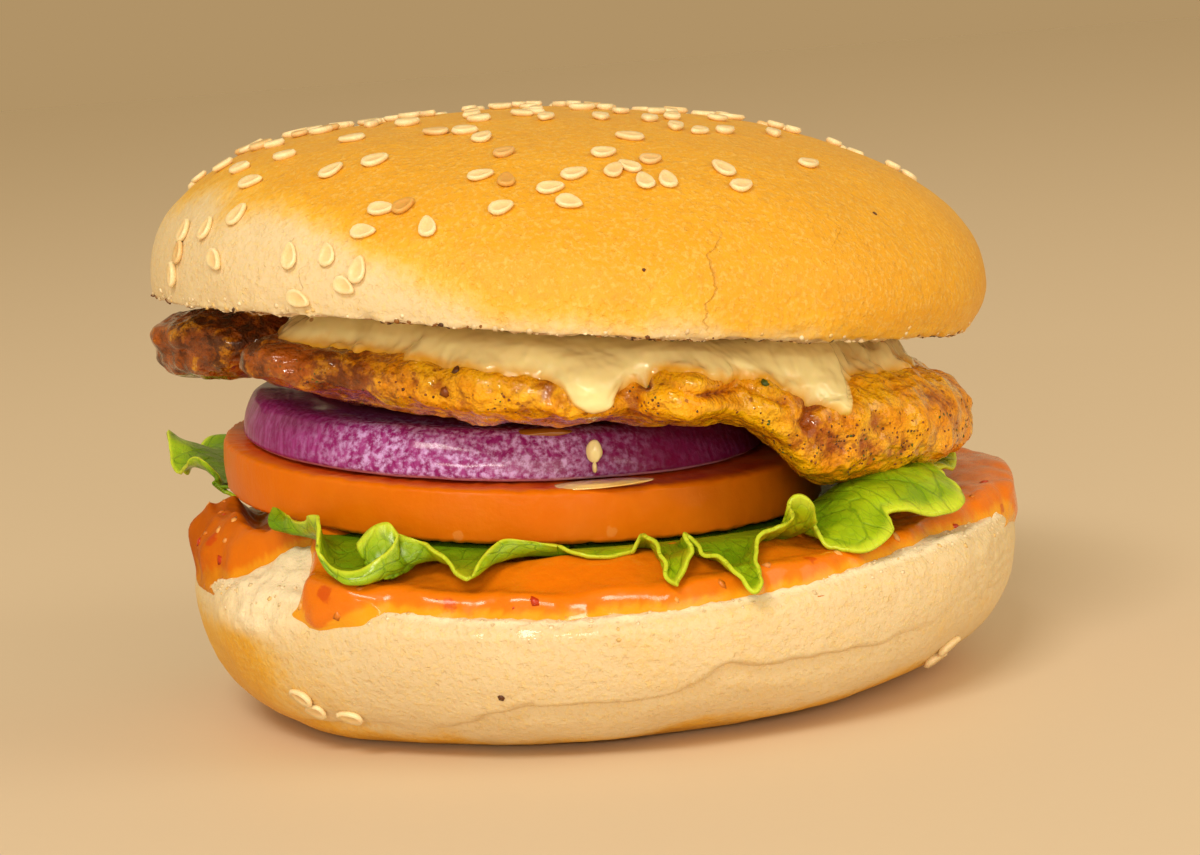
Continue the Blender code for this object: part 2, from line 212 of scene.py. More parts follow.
def mark(mesh, title, values, kind="FLOAT", key="value"):
    """Stores values as an attribute of the mesh's points."""
    layer = mesh.attributes.new(title, kind, "POINT")
    layer.data.foreach_set(key, np.asarray(values, np.float32).ravel())


def link_new(name, data):
    thing = bpy.data.objects.new(name, data)
    bpy.context.scene.collection.objects.link(thing)
    return thing


def new_object(name, points, faces, masks=None):
    """An object from points in millimetres and faces, with masks as point attributes."""
    mesh = bpy.data.meshes.new(name)
    mesh.from_pydata((np.asarray(points) * MM).tolist(), [], faces)
    for title, values in (masks or {}).items():
        mark(mesh, title, values)
    mesh.shade_smooth()
    return link_new(name, mesh)


def skin(name, spots, masks=None):
    """A closed skin from rings of points; the first and last ring close at a pole."""
    rings, columns = spots.shape[:2]
    inner = rings - 2
    column = np.arange(columns)
    beside = (column + 1) % columns
    start = 1 + np.arange(inner - 1)[:, None] * columns
    quads = np.stack([start + column, start + beside, start + columns + beside,
                      start + columns + column], axis=-1).reshape(-1, 4).tolist()
    last = 1 + (inner - 1) * columns
    top = 1 + inner * columns
    quads += [[0, 1 + b, 1 + c] for c, b in zip(column.tolist(), beside.tolist())]
    quads += [[top, last + c, last + b] for c, b in zip(column.tolist(), beside.tolist())]

    def merged(values):
        poles = [values[0].mean(0, keepdims=True), values[-1].mean(0, keepdims=True)]
        body = values[1:-1].reshape((-1,) + values.shape[2:])
        return np.concatenate([poles[0], body, poles[1]])

    masks = {title: merged(np.broadcast_to(values, spots.shape[:2]))
             for title, values in (masks or {}).items()}
    return new_object(name, merged(spots), quads, masks)


PIECES = {}


def finish(thing, material, slot, *nodes):
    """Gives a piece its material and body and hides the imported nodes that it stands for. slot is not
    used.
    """
    thing.data.materials.clear()
    thing.data.materials.append(material)
    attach(thing, BODY)
    if nodes:
        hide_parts(*nodes)
    PIECES[thing.name] = thing


# ------------------------------ shader building

def node(tree, kind, sockets=None, **settings):
    """A shader or geometry node; sockets gives its inputs as values or as outputs to link."""
    made = tree.nodes.new(kind)
    for key, value in settings.items():
        setattr(made, key, value)
    for key, value in (sockets or {}).items():
        if isinstance(value, bpy.types.NodeSocket):
            tree.links.new(value, made.inputs[key])
        else:
            made.inputs[key].default_value = value
    return made


def maths(tree, operation, *values, clamp=False):
    return node(tree, "ShaderNodeMath", dict(enumerate(values)), operation=operation,
                use_clamp=clamp).outputs[0]


def vector_maths(tree, operation, **sockets):
    """Arithmetic on vectors; first, second and by give the inputs."""
    keys = {"first": 0, "second": 1, "by": "Scale"}
    return node(tree, "ShaderNodeVectorMath", {keys[name]: value for name, value in sockets.items()},
                operation=operation).outputs[0]


def times(tree, first, second):
    return maths(tree, "MULTIPLY", first, second)


def plus(tree, first, second, clamp=False):
    return maths(tree, "ADD", first, second, clamp=clamp)


def minus(tree, first, second, clamp=False):
    return maths(tree, "SUBTRACT", first, second, clamp=clamp)


def between(tree, value, low, high, start=0.0, end=1.0):
    """value mapped smoothly from low..high to start..end."""
    return node(tree, "ShaderNodeMapRange", {"Value": value, "From Min": low, "From Max": high,
                                             "To Min": start, "To Max": end},
                interpolation_type="SMOOTHSTEP").outputs["Result"]


def blend(tree, share, first, second, how="MIX"):
    made = node(tree, "ShaderNodeMix", {"Factor": share}, data_type="RGBA", blend_type=how)
    for name, value in (("A", first), ("B", second)):
        target = next(s for s in made.inputs if s.name == name and s.type == "RGBA")
        if isinstance(value, bpy.types.NodeSocket):
            tree.links.new(value, target)
        else:
            target.default_value = (*value[:3], 1.0)
    return next(s for s in made.outputs if s.type == "RGBA")


def wash(tree, colour, mask, share, second):
    """colour with a second one laid over it where the mask shows, by at most share."""
    return blend(tree, times(tree, mask, share), colour, second)


def noise(tree, scale, detail, **sockets):
    """A noise texture of the given scale and detail; sockets gives its place and more."""
    return node(tree, "ShaderNodeTexNoise", {"Scale": scale, "Detail": detail, **sockets}).outputs


def group(name, **inputs):
    """An empty shader node group: a vector and inputs by their defaults in, one mask out."""
    tree = bpy.data.node_groups.new(name, "ShaderNodeTree")
    tree.interface.new_socket("Vector", in_out="INPUT", socket_type="NodeSocketVector")
    for title, value in inputs.items():
        kind = "NodeSocketFloat" if isinstance(value, float) else "NodeSocketVector"
        tree.interface.new_socket(title, in_out="INPUT", socket_type=kind).default_value = value
    tree.interface.new_socket("Mask", in_out="OUTPUT", socket_type="NodeSocketFloat")
    return tree, tree.nodes.new("NodeGroupInput").outputs


def give_out(tree, mask):
    tree.links.new(mask, tree.nodes.new("NodeGroupOutput").inputs["Mask"])
    return tree


def mottle_group():
    """Uneven patches: noise cut off softly between two levels."""
    tree, given = group("Mottle", Size=0.01, Detail=4.0, Low=0.4, High=0.6)
    scale = maths(tree, "DIVIDE", 1.0, given["Size"])
    spread = noise(tree, scale, given["Detail"], Vector=given["Vector"], Roughness=0.6)["Fac"]
    return give_out(tree, between(tree, spread, given["Low"], given["High"]))


def specks_group():
    """Scattered specks: a share of the cells holds one ragged spot each."""
    tree, given = group("Specks", Spacing=0.003, Share=0.3, Radius=0.2, Ragged=0.15)
    scale = maths(tree, "DIVIDE", 1.0, given["Spacing"])
    edge = noise(tree, times(tree, scale, 4.0), 2.0, Vector=given["Vector"])["Fac"]
    spread = times(tree, minus(tree, edge, 0.5), given["Ragged"])
    cell = node(tree, "ShaderNodeTexVoronoi", {"Vector": given["Vector"], "Scale": scale}).outputs
    tints = node(tree, "ShaderNodeSeparateColor", {"Color": cell["Color"]}).outputs
    radius = times(tree, given["Radius"], plus(tree, tints["Green"], 0.4))
    away = plus(tree, cell["Distance"], spread)
    spot = between(tree, away, times(tree, radius, 0.6), radius, 1.0, 0.0)
    return give_out(tree, times(tree, spot, maths(tree, "LESS_THAN", tints["Red"], given["Share"])))


def strands_group():
    """Noise drawn out along one direction, for fibres and wiped streaks."""
    tree, given = group("Strands", Stretch=(1.0, 1.0, 1.0), Size=0.002, Wander=0.3)
    drift = noise(tree, 90.0, 2.0, Vector=given["Vector"])["Color"]
    drift = vector_maths(tree, "SUBTRACT", first=drift, second=(0.5, 0.5, 0.5))
    drift = vector_maths(tree, "SCALE", first=drift, by=times(tree, given["Wander"], 0.02))
    spot = vector_maths(tree, "ADD", first=given["Vector"], second=drift)
    spot = vector_maths(tree, "MULTIPLY", first=spot, second=given["Stretch"])
    return give_out(tree, noise(tree, maths(tree, "DIVIDE", 1.0, given["Size"]), 3.0, Vector=spot)["Fac"])


def crack_group():
    """A hairline crack that climbs from Bottom to Top near X, wandering a little."""
    tree, given = group("Crack", X=0.0, Lean=0.0, Bottom=0.05, Top=0.07, Width=0.0003)
    spot = node(tree, "ShaderNodeSeparateXYZ", {0: given["Vector"]}).outputs
    wander = node(tree, "ShaderNodeTexNoise", {"W": plus(tree, spot["Z"], given["X"]), "Scale": 160.0,
                                               "Detail": 4.0}, noise_dimensions="1D").outputs["Fac"]
    line = plus(tree, given["X"], times(tree, minus(tree, wander, 0.5), 0.0075))
    line = plus(tree, line, times(tree, given["Lean"], minus(tree, spot["Z"], given["Bottom"])))
    away = maths(tree, "ABSOLUTE", minus(tree, spot["X"], line))
    started = between(tree, spot["Z"], given["Bottom"], plus(tree, given["Bottom"], 0.003))
    ended = between(tree, spot["Z"], minus(tree, given["Top"], 0.006), given["Top"], 1.0, 0.0)
    thin = between(tree, away, 0.0, given["Width"], 1.0, 0.0)
    front = maths(tree, "LESS_THAN", spot["Y"], 0.0)
    return give_out(tree, times(tree, times(tree, thin, times(tree, started, ended)), front))


GROUPS = {}


def place_of(tree):
    return tree.nodes["Place"].outputs["Object"]


def use(tree, title, **values):
    """Places a shared group in a material and returns its mask."""
    if not GROUPS:
        for made in (mottle_group(), specks_group(), strands_group(), crack_group()):
            GROUPS[made.name] = made
    made = tree.nodes.new("ShaderNodeGroup")
    made.node_tree = GROUPS[title]
    tree.links.new(place_of(tree), made.inputs["Vector"])
    for key, value in values.items():
        made.inputs[key].default_value = value
    return made.outputs["Mask"]


def mottle(tree, size, low, high, detail=4.0):
    """Uneven patches of about the given size in millimetres."""
    return use(tree, "Mottle", Size=size * MM, Detail=detail, Low=low, High=high)


def specks(tree, spacing, share, radius, ragged):
    """Specks in a share of cells spacing millimetres wide; radius is in cells."""
    return use(tree, "Specks", Spacing=spacing * MM, Share=share, Radius=radius, Ragged=ragged)


def strands(tree, size, upright, wander):
    """Fibres drawn out upwards, size millimetres across; upright is how fast they change there."""
    return use(tree, "Strands", Stretch=(1.0, 1.0, upright), Size=size * MM, Wander=wander)


def mask_of(tree, title):
    return node(tree, "ShaderNodeAttribute", attribute_name=title).outputs["Fac"]


def material(name, roughness, **uniform):
    """A material with a Principled shader, and its tree."""
    made = bpy.data.materials.new(name)
    made.use_nodes = True
    tree = made.node_tree
    shader = tree.nodes["Principled BSDF"]
    shader.inputs["Roughness"].default_value = roughness
    for key, value in uniform.items():
        shader.inputs[key.replace("_", " ").title().replace("Ior", "IOR")].default_value = value
    node(tree, "ShaderNodeTexCoord", name="Place")
    return made, tree


def dress(tree, colour, roughness=None, bumps=(), coat=None):
    """Links a finish to its shader; bumps are (height, depth in metres, strength)."""
    shader = tree.nodes["Principled BSDF"]
    for title, value in (("Base Color", colour), ("Roughness", roughness), ("Coat Weight", coat)):
        if value is not None:
            tree.links.new(value, shader.inputs[title])
    normal = None
    for height, depth, strength in bumps:
        made = node(tree, "ShaderNodeBump", {"Height": height, "Distance": depth, "Strength": strength})
        if normal is not None:
            tree.links.new(normal, made.inputs["Normal"])
        normal = made.outputs["Normal"]
    if normal is not None:
        tree.links.new(normal, shader.inputs["Normal"])


# ------------------------------ levels of the stack

# The heel: a bowl with a rounded rim and a cut that dips in the middle
HEEL_RADIUS = 53.0
HEEL_BASE_RADIUS = 32.0
HEEL_FULL_LEFT = 7.0
HEEL_WIDEST_Z = 16.0
HEEL_RIM_ROUND = 1.8
HEEL_CUT_Z = 18.0
HEEL_CUT_RISE = 2.4
HEEL_CUT_SPAN = 30.0
# The slices: one leaning stack, with GAP between neighbours
TOMATO_CENTRE = (-10.0, 0.0)
TOMATO_RADIUS = 38.0
TOMATO_THICK = 6.4
STACK_Z = 25.8
STACK_LEAN_X = -0.093
STACK_LEAN_Y = 0.03
ONION_CENTRE = (-12.0, -1.0)
ONION_RADIUS = 33.4
ONION_THICK = 5.8
ONION_TAPER = 2.0
GAP = 0.35
# The crown: its widest level and its cut lean to the right, and its side curves in below
CROWN_CENTRE = (-1.9, 0.0)
CROWN_RADIUS = 53.0
CROWN_WIDEST_Z = 51.4
CROWN_WIDEST_LEAN = -0.0585
CROWN_RISE = 22.4
CROWN_SIDE = 0.9
CROWN_UNDERCUT = 0.078
CROWN_CUT_Z = 48.27
CROWN_CUT_LEAN_X = -0.134
CROWN_CUT_LEAN_Y = -0.03
CROWN_CUT_CAP = 53.5
# Room that the solids leave for the cream and for a leaf
CREAM_THICK = 1.8
LEAF_THICK = 0.6
# How far the sauce on the heel's side swells outwards, as a share of its thickness
SAUCE_LEAN = 0.2


def heel_cut(x):
    return HEEL_CUT_Z + HEEL_CUT_RISE * (1.0 - bell(x, 0.0, HEEL_CUT_SPAN))


def stack_level(x, y, height=0.0):
    """A level of the leaning slices, height above the tomato's underside."""
    return STACK_Z + STACK_LEAN_X * (x - TOMATO_CENTRE[0]) + STACK_LEAN_Y * y + height


def onion_top(x, y):
    return stack_level(x, y, TOMATO_THICK + GAP + ONION_THICK)


def crown_cut(x, y):
    level = CROWN_CUT_Z + CROWN_CUT_LEAN_X * x + CROWN_CUT_LEAN_Y * y
    over = np.maximum(0.0, level - CROWN_CUT_CAP)
    return np.minimum(level, CROWN_CUT_CAP) + 1.0 - np.exp(-over)


def crown_widest(x, y):
    level = CROWN_WIDEST_Z + CROWN_WIDEST_LEAN * (x - CROWN_CENTRE[0])
    return np.maximum(level, crown_cut(x, y) + CROWN_SIDE)


# ------------------------------ crown

CROWN_COLUMNS = 430
# Rings over the cut, up the side and over the dome
CROWN_STEPS = (34, 26, 160)


def crown_surface():
    """The crown's smooth skin from the cut's middle round the rim to the apex."""
    angle = turns_of(CROWN_COLUMNS)
    under, side, dome = CROWN_STEPS
    wide_x, wide_y = polar(angle, CROWN_RADIUS, CROWN_CENTRE)
    drop = crown_widest(wide_x, wide_y) - crown_cut(wide_x, wide_y)
    cut_radius = CROWN_RADIUS - CROWN_UNDERCUT * drop ** 2 - 0.6
    spots = []
    for step in range(under + 1):
        share = 1.0 - (1.0 - step / under) ** 1.8
        x, y = polar(angle, cut_radius * share, CROWN_CENTRE)
        spots.append(rows(x, y, crown_cut(x, y)))
    for step in range(1, side + 1):
        fall = drop * (1.0 - step / side)
        x, y = polar(angle, CROWN_RADIUS - CROWN_UNDERCUT * fall ** 2, CROWN_CENTRE)
        spots.append(rows(x, y, crown_widest(x, y) - fall))
    for step in range(1, dome + 1):
        turn = 90.0 * step / dome
        power = 2.0 / (2.20 - 0.16 * cosine(angle))
        x, y = polar(angle, CROWN_RADIUS * max(0.0, cosine(turn)) ** power, CROWN_CENTRE)
        spots.append(rows(x, y, crown_widest(x, y) + CROWN_RISE * sine(turn) ** power))
    return softened(np.array(spots), under - 5, under + 6, 10)


def crown_relief(spots):
    """Height of the crust's slow waves, its wrinkles near the cut and the crumbly rim."""
    over_cut = spots[..., 2] - crown_cut(spots[..., 0], spots[..., 1])
    height = 0.32 * layered(spots, 17.0, 2, 3) + 0.10 * layered(spots, 4.5, 3, 5)
    near = np.exp(-np.abs(over_cut) / 1.1)
    ragged = layered(spots, 1.9, 3, 9)
    height += near * (0.5 * ragged - 0.25) - 0.55 * near * ease(0.35, 0.8, layered(spots, 4.2, 2, 12))
    return height


def crown_masks(spots):
    """How far the crust is baked, and how close a point is to the cut's rim."""
    x, y, z = parts(spots)
    over_cut = z - crown_cut(x, y)
    uneven = layered(spots, 14.0, 3, 21)
    level = over_cut + 1.8 * uneven - 10.5 * ease(-4.0, -40.0, x) + 3.0 * ease(8.0, 36.0, x)
    toast = ease(-3.0, 7.5, level)
    under = ease(0.4, 0.0, over_cut)
    return {"toast": toast, "rim": bell(over_cut, -0.25, 0.5), "crumb": under, "oily": 0.0 * x}


def crust_material(name, settings, cracks=()):
    """Baked crust: golden where toasted, pale where not, finely mottled and dimpled, with painted shade
    in the cracks and in parts of the heel's toast mask.
    """
    made, tree = material(name, 0.5, specular_ior_level=0.35, subsurface_weight=0.12,
                          subsurface_scale=0.004, subsurface_radius=(1.0, 0.55, 0.25))
    toast, rim, crumb = (mask_of(tree, title) for title in ("toast", "rim", "crumb"))
    fine = mottle(tree, 1.1, 0.32, 0.72, 3.0)
    broad = mottle(tree, 9.0, 0.3, 0.7, 5.0)
    level = plus(tree, toast, times(tree, minus(tree, broad, 0.5), 0.26))
    level = plus(tree, level, times(tree, minus(tree, fine, 0.5), 0.16))
    pale = blend(tree, between(tree, level, 0.0, 0.45), settings.pale, settings.blush)
    baked = blend(tree, between(tree, level, 0.45, 1.05), settings.golden, settings.deep)
    colour = blend(tree, between(tree, level, 0.25, 0.72), pale, baked)
    dimples = specks(tree, 0.9, 0.5, 0.40, 0.5)
    baking = between(tree, toast, 0.0, 0.6, 0.3, 1.0)
    colour = wash(tree, colour, times(tree, dimples, 0.3), baking, settings.deep)
    sandy = mottle(tree, 0.6, 0.46, 0.66, 5.0)
    colour = wash(tree, colour, sandy, 0.34, settings.freckle)
    dusky = mottle(tree, 1.4, 0.52, 0.7)
    colour = wash(tree, colour, times(tree, dusky, 0.16), baking, settings.speck_and_crack_shade)
    scorched = specks(tree, 16.0, 0.12, 0.035, 0.04)
    colour = wash(tree, colour, scorched, 0.8, BURNT_SPECK)
    colour = blend(tree, crumb, colour, settings.crumb)
    scorch = mottle(tree, 2.5, 0.36, 0.6)
    colour = wash(tree, colour, rim, between(tree, scorch, 0.0, 1.0, 0.25, 0.85), SCORCHED_RIM)
    bumps = [(fine, 0.00012, 0.5), (dimples, -0.00012, 0.5), (sandy, 0.0001, 0.5)]
    for x, lean, bottom, top, width in cracks:
        line = use(tree, "Crack", X=x * MM, Lean=lean, Bottom=bottom * MM, Top=top * MM,
                   Width=width * MM)
        # Painted shade: each crack is darkened as well as grooved
        colour = wash(tree, colour, line, 0.38, settings.speck_and_crack_shade)
        bumps.append((line, -0.0002, 0.6))
    oily = mask_of(tree, "oily")
    oily = times(tree, oily, mottle(tree, 3.0, 0.4, 0.6))
    rough = minus(tree, between(tree, toast, 0.0, 1.0, 0.62, 0.45), times(tree, oily, 0.3))
    dress(tree, colour, rough, bumps, times(tree, oily, 0.7))
    return made


# x, lean, bottom z, top z and width of each hairline crack, in millimetres
CROWN_CRACKS = ((13.0, 0.20, 47.8, 62.5, 0.24), (27.0, 0.42, 56.0, 61.8, 0.14),
                (-29.2, 0.70, 63.5, 67.5, 0.14), (-33.0, 0.24, 55.5, 61.8, 0.14))


# ------------------------------ heel

HEEL_COLUMNS = 430
# Rings over the base, up the side, round the rim and over the cut
HEEL_STEPS = (12, 110, 10, 60)
# The bare crumb at the left front: its bearing and width
BARE_CRUMB = (216.0, 10.0)
# Bearing and z of the long crease in the heel's front, in degrees and millimetres
CREASE = ((238.0, 3.2), (246.0, 4.8), (254.0, 6.8), (259.0, 8.0), (266.0, 7.6), (275.0, 8.0),
          (281.0, 9.4), (284.5, 11.0), (289.0, 10.2), (299.0, 9.9), (309.0, 10.4), (322.0, 11.8))


def crease_level(angle):
    """Height of the crease at an angle, and how deep it is there."""
    turns, levels = zip(*CREASE)
    level = np.interp(angle, turns, levels)
    return level, ease(turns[0], turns[0] + 12.0, angle) * ease(turns[-1], turns[-1] - 26.0, angle)


def heel_relief(spots):
    """Height of the heel's crust: slow waves, the long crease, and its crumbly cut."""
    x, y, z = parts(spots)
    angle = bearing(x, y)
    radius = np.hypot(x, y)
    height = 0.45 * layered(spots, 19.0, 2, 31) + 0.09 * layered(spots, 4.0, 3, 33)
    level, deep = crease_level(angle)
    away = z - level + 0.7 * layered(spots, 6.0, 3, 35)
    side = ease(0.3, 1.5, z) * ease(40.0, 43.0, radius + 0.4 * z)
    height += deep * side * np.where(away > 0.0, 0.55 * ease(0.0, 0.7, away) * np.exp(-away / 3.5) - 0.25,
                                     -0.25 - 0.75 * ease(0.0, -0.25, away) * np.exp(away / 1.6)
                                     + 0.35 * ease(-0.2, -3.0, away))
    second = np.exp(-((z - 3.6 - 0.05 * (angle - 226.0)) / 0.6) ** 2) * ease(212.0, 222.0, angle) \
        * ease(240.0, 232.0, angle)
    height -= 0.6 * second
    right = ease(318.0, 330.0, angle) * ease(352.0, 340.0, angle) * ease(9.0, 13.0, z)
    height -= 0.3 * right * ease(0.55, 0.85, ridged(spots * np.array([1.0, 1.0, 2.6]), 5.0, 2, 37))
    cut = heel_cut(x)
    rim = bell(z, cut, 1.2) * ease(47.0, 52.0, radius)
    height += rim * (0.34 * layered(spots, 1.6, 3, 39) - 0.1)
    flaky = ease(0.1, 0.6, layered(spots, 3.4, 2, 40)) * bell(z, cut - 1.8, 1.6)
    height += 0.22 * flaky * ease(47.0, 51.0, radius) * (layered(spots, 1.3, 2, 42) + 0.6)
    height += 4.2 * hump(angle, *BARE_CRUMB) * bell(radius, 44.5, 5.0) * ease(12.0, 16.0, z)
    crumb = crumb_patch(angle, radius, z)
    first, _ = cells(spots, 2.3, 41)
    height += crumb * (1.5 * (0.62 - first) + 0.15 * layered(spots, 1.1, 2, 43))
    return height


def crumb_patch(angle, radius, z):
    """1 on the bare, bubbly crumb at the left front."""
    return hump(angle, *BARE_CRUMB) * ease(41.0, 46.0, radius) * ease(14.0, 17.0, z)


def heel_surface():
    """The heel's smooth skin from the base's middle over the rim to the cut's middle."""
    angle = turns_of(HEEL_COLUMNS)
    base = HEEL_BASE_RADIUS + HEEL_FULL_LEFT * hump(angle, 200.0, 45.0)
    under, side, rim, cut = HEEL_STEPS
    spots = []
    for step in range(under + 1):
        x, y = polar(angle, base * (1.0 - (1.0 - step / under) ** 1.6))
        spots.append(rows(x, y, 0.0 * x))
    for step in range(1, side + 1):
        turn = 90.0 * step / side
        x, y = polar(angle, mix(base, HEEL_RADIUS, sine(turn)))
        spots.append(rows(x, y, HEEL_WIDEST_Z * (1.0 - cosine(turn)) + 0.0 * x))
    level = HEEL_RADIUS - HEEL_RIM_ROUND
    for step in range(1, rim + 1):
        out, up = polar(90.0 * step / rim, HEEL_RIM_ROUND)
        x, y = polar(angle, level + out)
        climbed = (step / rim) ** 0.5
        spots.append(rows(x, y, mix(HEEL_WIDEST_Z, heel_cut(x) + up - HEEL_RIM_ROUND, climbed)))
    for step in range(1, cut + 1):
        x, y = polar(angle, level * (1.0 - step / cut) ** 0.8)
        spots.append(rows(x, y, heel_cut(x)))
    return np.array(spots)


def heel_masks(spots):
    x, y, z = parts(spots)
    angle, radius = bearing(x, y), np.hypot(x, y)
    uneven = layered(spots, 12.0, 3, 45)
    cut = heel_cut(x)
    # Toast rises toward the base; the extra at 330 degrees darkens the right front's base as painted
    # shade
    low = ease(5.5, 0.3, z + 1.3 * uneven - 1.5 * hump(angle, 330.0, 30.0))
    left = ease(234.0, 205.0, angle) * ease(140.0, 170.0, angle)
    toast = np.clip(0.02 + 0.8 * low + 0.85 * left * ease(20.0, 11.0, z) + 0.14 * uneven, 0.0, 1.0)
    level, deep = crease_level(angle)
    # A paler band below the crease: partly paler crust, partly a painted highlight where the ledge faces
    # up into the light
    pale_lit_ledge = deep * np.exp(-((z - level + 3.0) / 2.6) ** 2)
    toast = np.clip(toast - 0.4 * pale_lit_ledge, 0.0, 1.0)
    over = ease(cut - 0.9, cut - 0.1, z)
    patch = crumb_patch(angle, radius, z)
    return {"toast": toast * (1.0 - over), "rim": 0.0 * z,
            "crumb": np.clip(over + patch, 0.0, 1.0),
            "oily": bell(x, -11.0, 12.0) * bell(z, 16.2, 2.0) * ease(-30.0, -40.0, y)}


# ------------------------------ burger sauce

SAUCE_COLUMNS = 520
SAUCE_REACH = 50.6
# Bearing, width and how far the edge moves out there: the heap, the bare crumb, the drip,
# the short stretch at the right front and the tongue at the right
SAUCE_TONGUES = ((190.0, 14.0, 2.6), (216.0, 7.5, -7.4), (230.5, 5.0, 3.6), (318.0, 18.0, -2.0),
                 (358.0, 14.0, 4.6))
# The film's rings run out to SAUCE_OUTER, and are close together as far in as SAUCE_INNER
SAUCE_OUTER = 58.5
SAUCE_INNER = 34.0


def sauce_reach(angle):
    """How far the sauce runs from the cut's middle, over the rim and down."""
    return swollen(angle, SAUCE_REACH + 0.8 * sine(5.0 * angle + 40.0), SAUCE_TONGUES)


def sauce_thickness(angle, radius):
    """Thickness of the sauce: piled at the left and front, heaped at the left, thin elsewhere."""
    x, y = polar(angle, radius)
    thick = 1.3 + 1.1 * ease(38.0, 47.0, radius)
    piled = np.maximum(ease(12.0, 40.0, -x), 0.85 * hump(angle, 262.0, 48.0))
    thick += 4.4 * piled * (1.0 - ease(39.0, 48.0, radius))
    thick += 7.2 * hump(angle, 189.0, 15.0) * ease(44.0, 48.5, radius)
    thick += 1.8 * hump(angle, 24.0, 24.0) * ease(36.0, 46.0, radius)
    thick -= 0.9 * hump(angle, 316.0, 18.0) * ease(38.0, 47.0, radius)
    room = stack_level(x, y, -3.0 * GAP - 1.5 * LEAF_THICK) - heel_cut(x)
    past_tomato = np.hypot(x - TOMATO_CENTRE[0], y) - TOMATO_RADIUS
    return np.minimum(thick, room + 12.0 * ease(1.0, 6.0, past_tomato))


def heel_path(angle, reach):
    """Point on the heel and the turn of its surface, reach from the cut's middle over the rim."""
    level = HEEL_RADIUS - HEEL_RIM_ROUND
    past = np.maximum(0.0, reach - level) / HEEL_RIM_ROUND
    turn = np.minimum(90.0, np.degrees(past))
    down = np.maximum(0.0, past - math.pi / 2.0) * HEEL_RIM_ROUND
    radius = np.minimum(reach, level) + HEEL_RIM_ROUND * sine(turn)
    x, y = polar(angle, radius)
    flat_x, _ = polar(angle, np.minimum(reach, level))
    z = heel_cut(flat_x) - HEEL_RIM_ROUND * (1.0 - cosine(turn)) - down
    return x, y, z, turn


def sauce_surface():
    """Closed film on the heel: an underside inside the bread and an uneven top."""
    angle = turns_of(SAUCE_COLUMNS)
    under = np.linspace(0.0, SAUCE_OUTER, 14)
    over = np.concatenate([np.linspace(SAUCE_OUTER, SAUCE_INNER, 110),
                           np.linspace(SAUCE_INNER - 1.0, 0.0, 26)])
    path = np.concatenate([under, over])[:, None] + 0.0 * angle
    angle = angle + 0.0 * path
    x, y, z, turn = heel_path(angle, path)
    base = rows(x, y, z)
    height = heel_relief(base) * ease(26.0, 36.0, path)
    ragged = 0.9 * layered(base, 6.0, 2, 51) + 0.35 * layered(base, 2.0, 2, 53)
    inside = sauce_reach(angle) + ragged - path
    full = sauce_thickness(angle, path) + GAP
    lumpy = hump(angle, 190.0, 20.0) * ease(40.0, 46.0, path)
    full = full * (1.0 - 0.1 * lumpy + (0.10 + 0.12 * lumpy) * layered(base, 6.5, 3, 55))
    full += 0.05 * layered(base, 2.4, 2, 57) + lumpy * 0.12 * layered(base, 2.2, 2, 59)
    edge = np.clip(inside / np.maximum(1.1, 0.7 * full), 0.0, 1.0)
    thick = full * np.sqrt(1.0 - (1.0 - edge) ** 2)
    thick = np.where(inside < 0.0, -0.7 * ease(0.0, -0.8, inside) + 0.4 * np.minimum(0.0, inside), thick)
    first = np.arange(len(path))[:, None] < len(under)
    thick = np.where(first, np.minimum(thick, 0.0) - 1.2, thick)
    out = height + mix(1.0, SAUCE_LEAN, ease(0.0, 60.0, turn)) * thick
    spots = rows(x + out * sine(turn) * cosine(angle), y + out * sine(turn) * sine(angle),
                 z + (height + thick) * cosine(turn))
    for _ in range(5):
        beside = 0.5 * (np.roll(spots, 1, 1) + np.roll(spots, -1, 1))
        along = 0.5 * (spots[len(under):-2] + spots[len(under) + 2:])
        spots = mix(spots, beside, 0.3)
        spots[len(under) + 1:-1] = mix(spots[len(under) + 1:-1], along, 0.3)
    return spots, {"depth": np.clip(thick / 2.0, 0.0, 1.0), "lumpy": lumpy}


# ------------------------------ slices

SLICE_COLUMNS = 420
# Rings over each face of a slice and up its side
SLICE_STEPS = (15, 40)


def slice_spots(centre, radius, thick, base, taper, bulge, corner):
    """Rings of a thick slice from the middle of its lower face to that of its upper one."""
    angle = turns_of(SLICE_COLUMNS)
    face, side = SLICE_STEPS
    faces = np.linspace(0.0, 1.0, face + 1)[:-1] ** 0.75
    stations = [(share, 0.0) for share in faces]
    stations += [(1.0, rise) for rise in np.linspace(0.0, 1.0, side)]
    stations += [(share, 1.0) for share in faces[::-1]]
    spots = []
    for share, rise in stations:
        edge = radius + 0.4 * sine(3.0 * angle + 50.0) - taper * rise
        if share == 1.0:
            near = min(rise, 1.0 - rise) * thick / corner
            edge = edge + bulge * math.sin(math.pi * rise) - corner * (1.0 - min(1.0, near)) ** 2
        else:
            edge = edge - corner
        x, y = polar(angle, share * edge, centre)
        spots.append(rows(x, y, stack_level(x, y, base + rise * thick)))
    return np.array(spots)


def tomato_surface():
    spots = slice_spots(TOMATO_CENTRE, TOMATO_RADIUS, TOMATO_THICK, 0.0, 0.0, 0.25, 0.5)
    x, y, z = parts(spots)
    rise = (z - stack_level(x, y)) / TOMATO_THICK
    edge = np.minimum(rise, 1.0 - rise)
    height = 0.12 * layered(spots, 9.0, 2, 63)
    height += 0.16 * bell(edge, 0.0, 0.10) * layered(spots, 1.1, 2, 65)
    away = np.hypot(x - TOMATO_CENTRE[0], y - TOMATO_CENTRE[1])
    skin_share = ease(TOMATO_RADIUS - 1.6, TOMATO_RADIUS - 0.6, away)
    return raised(spots, height), {"skin": skin_share, "rise": rise}


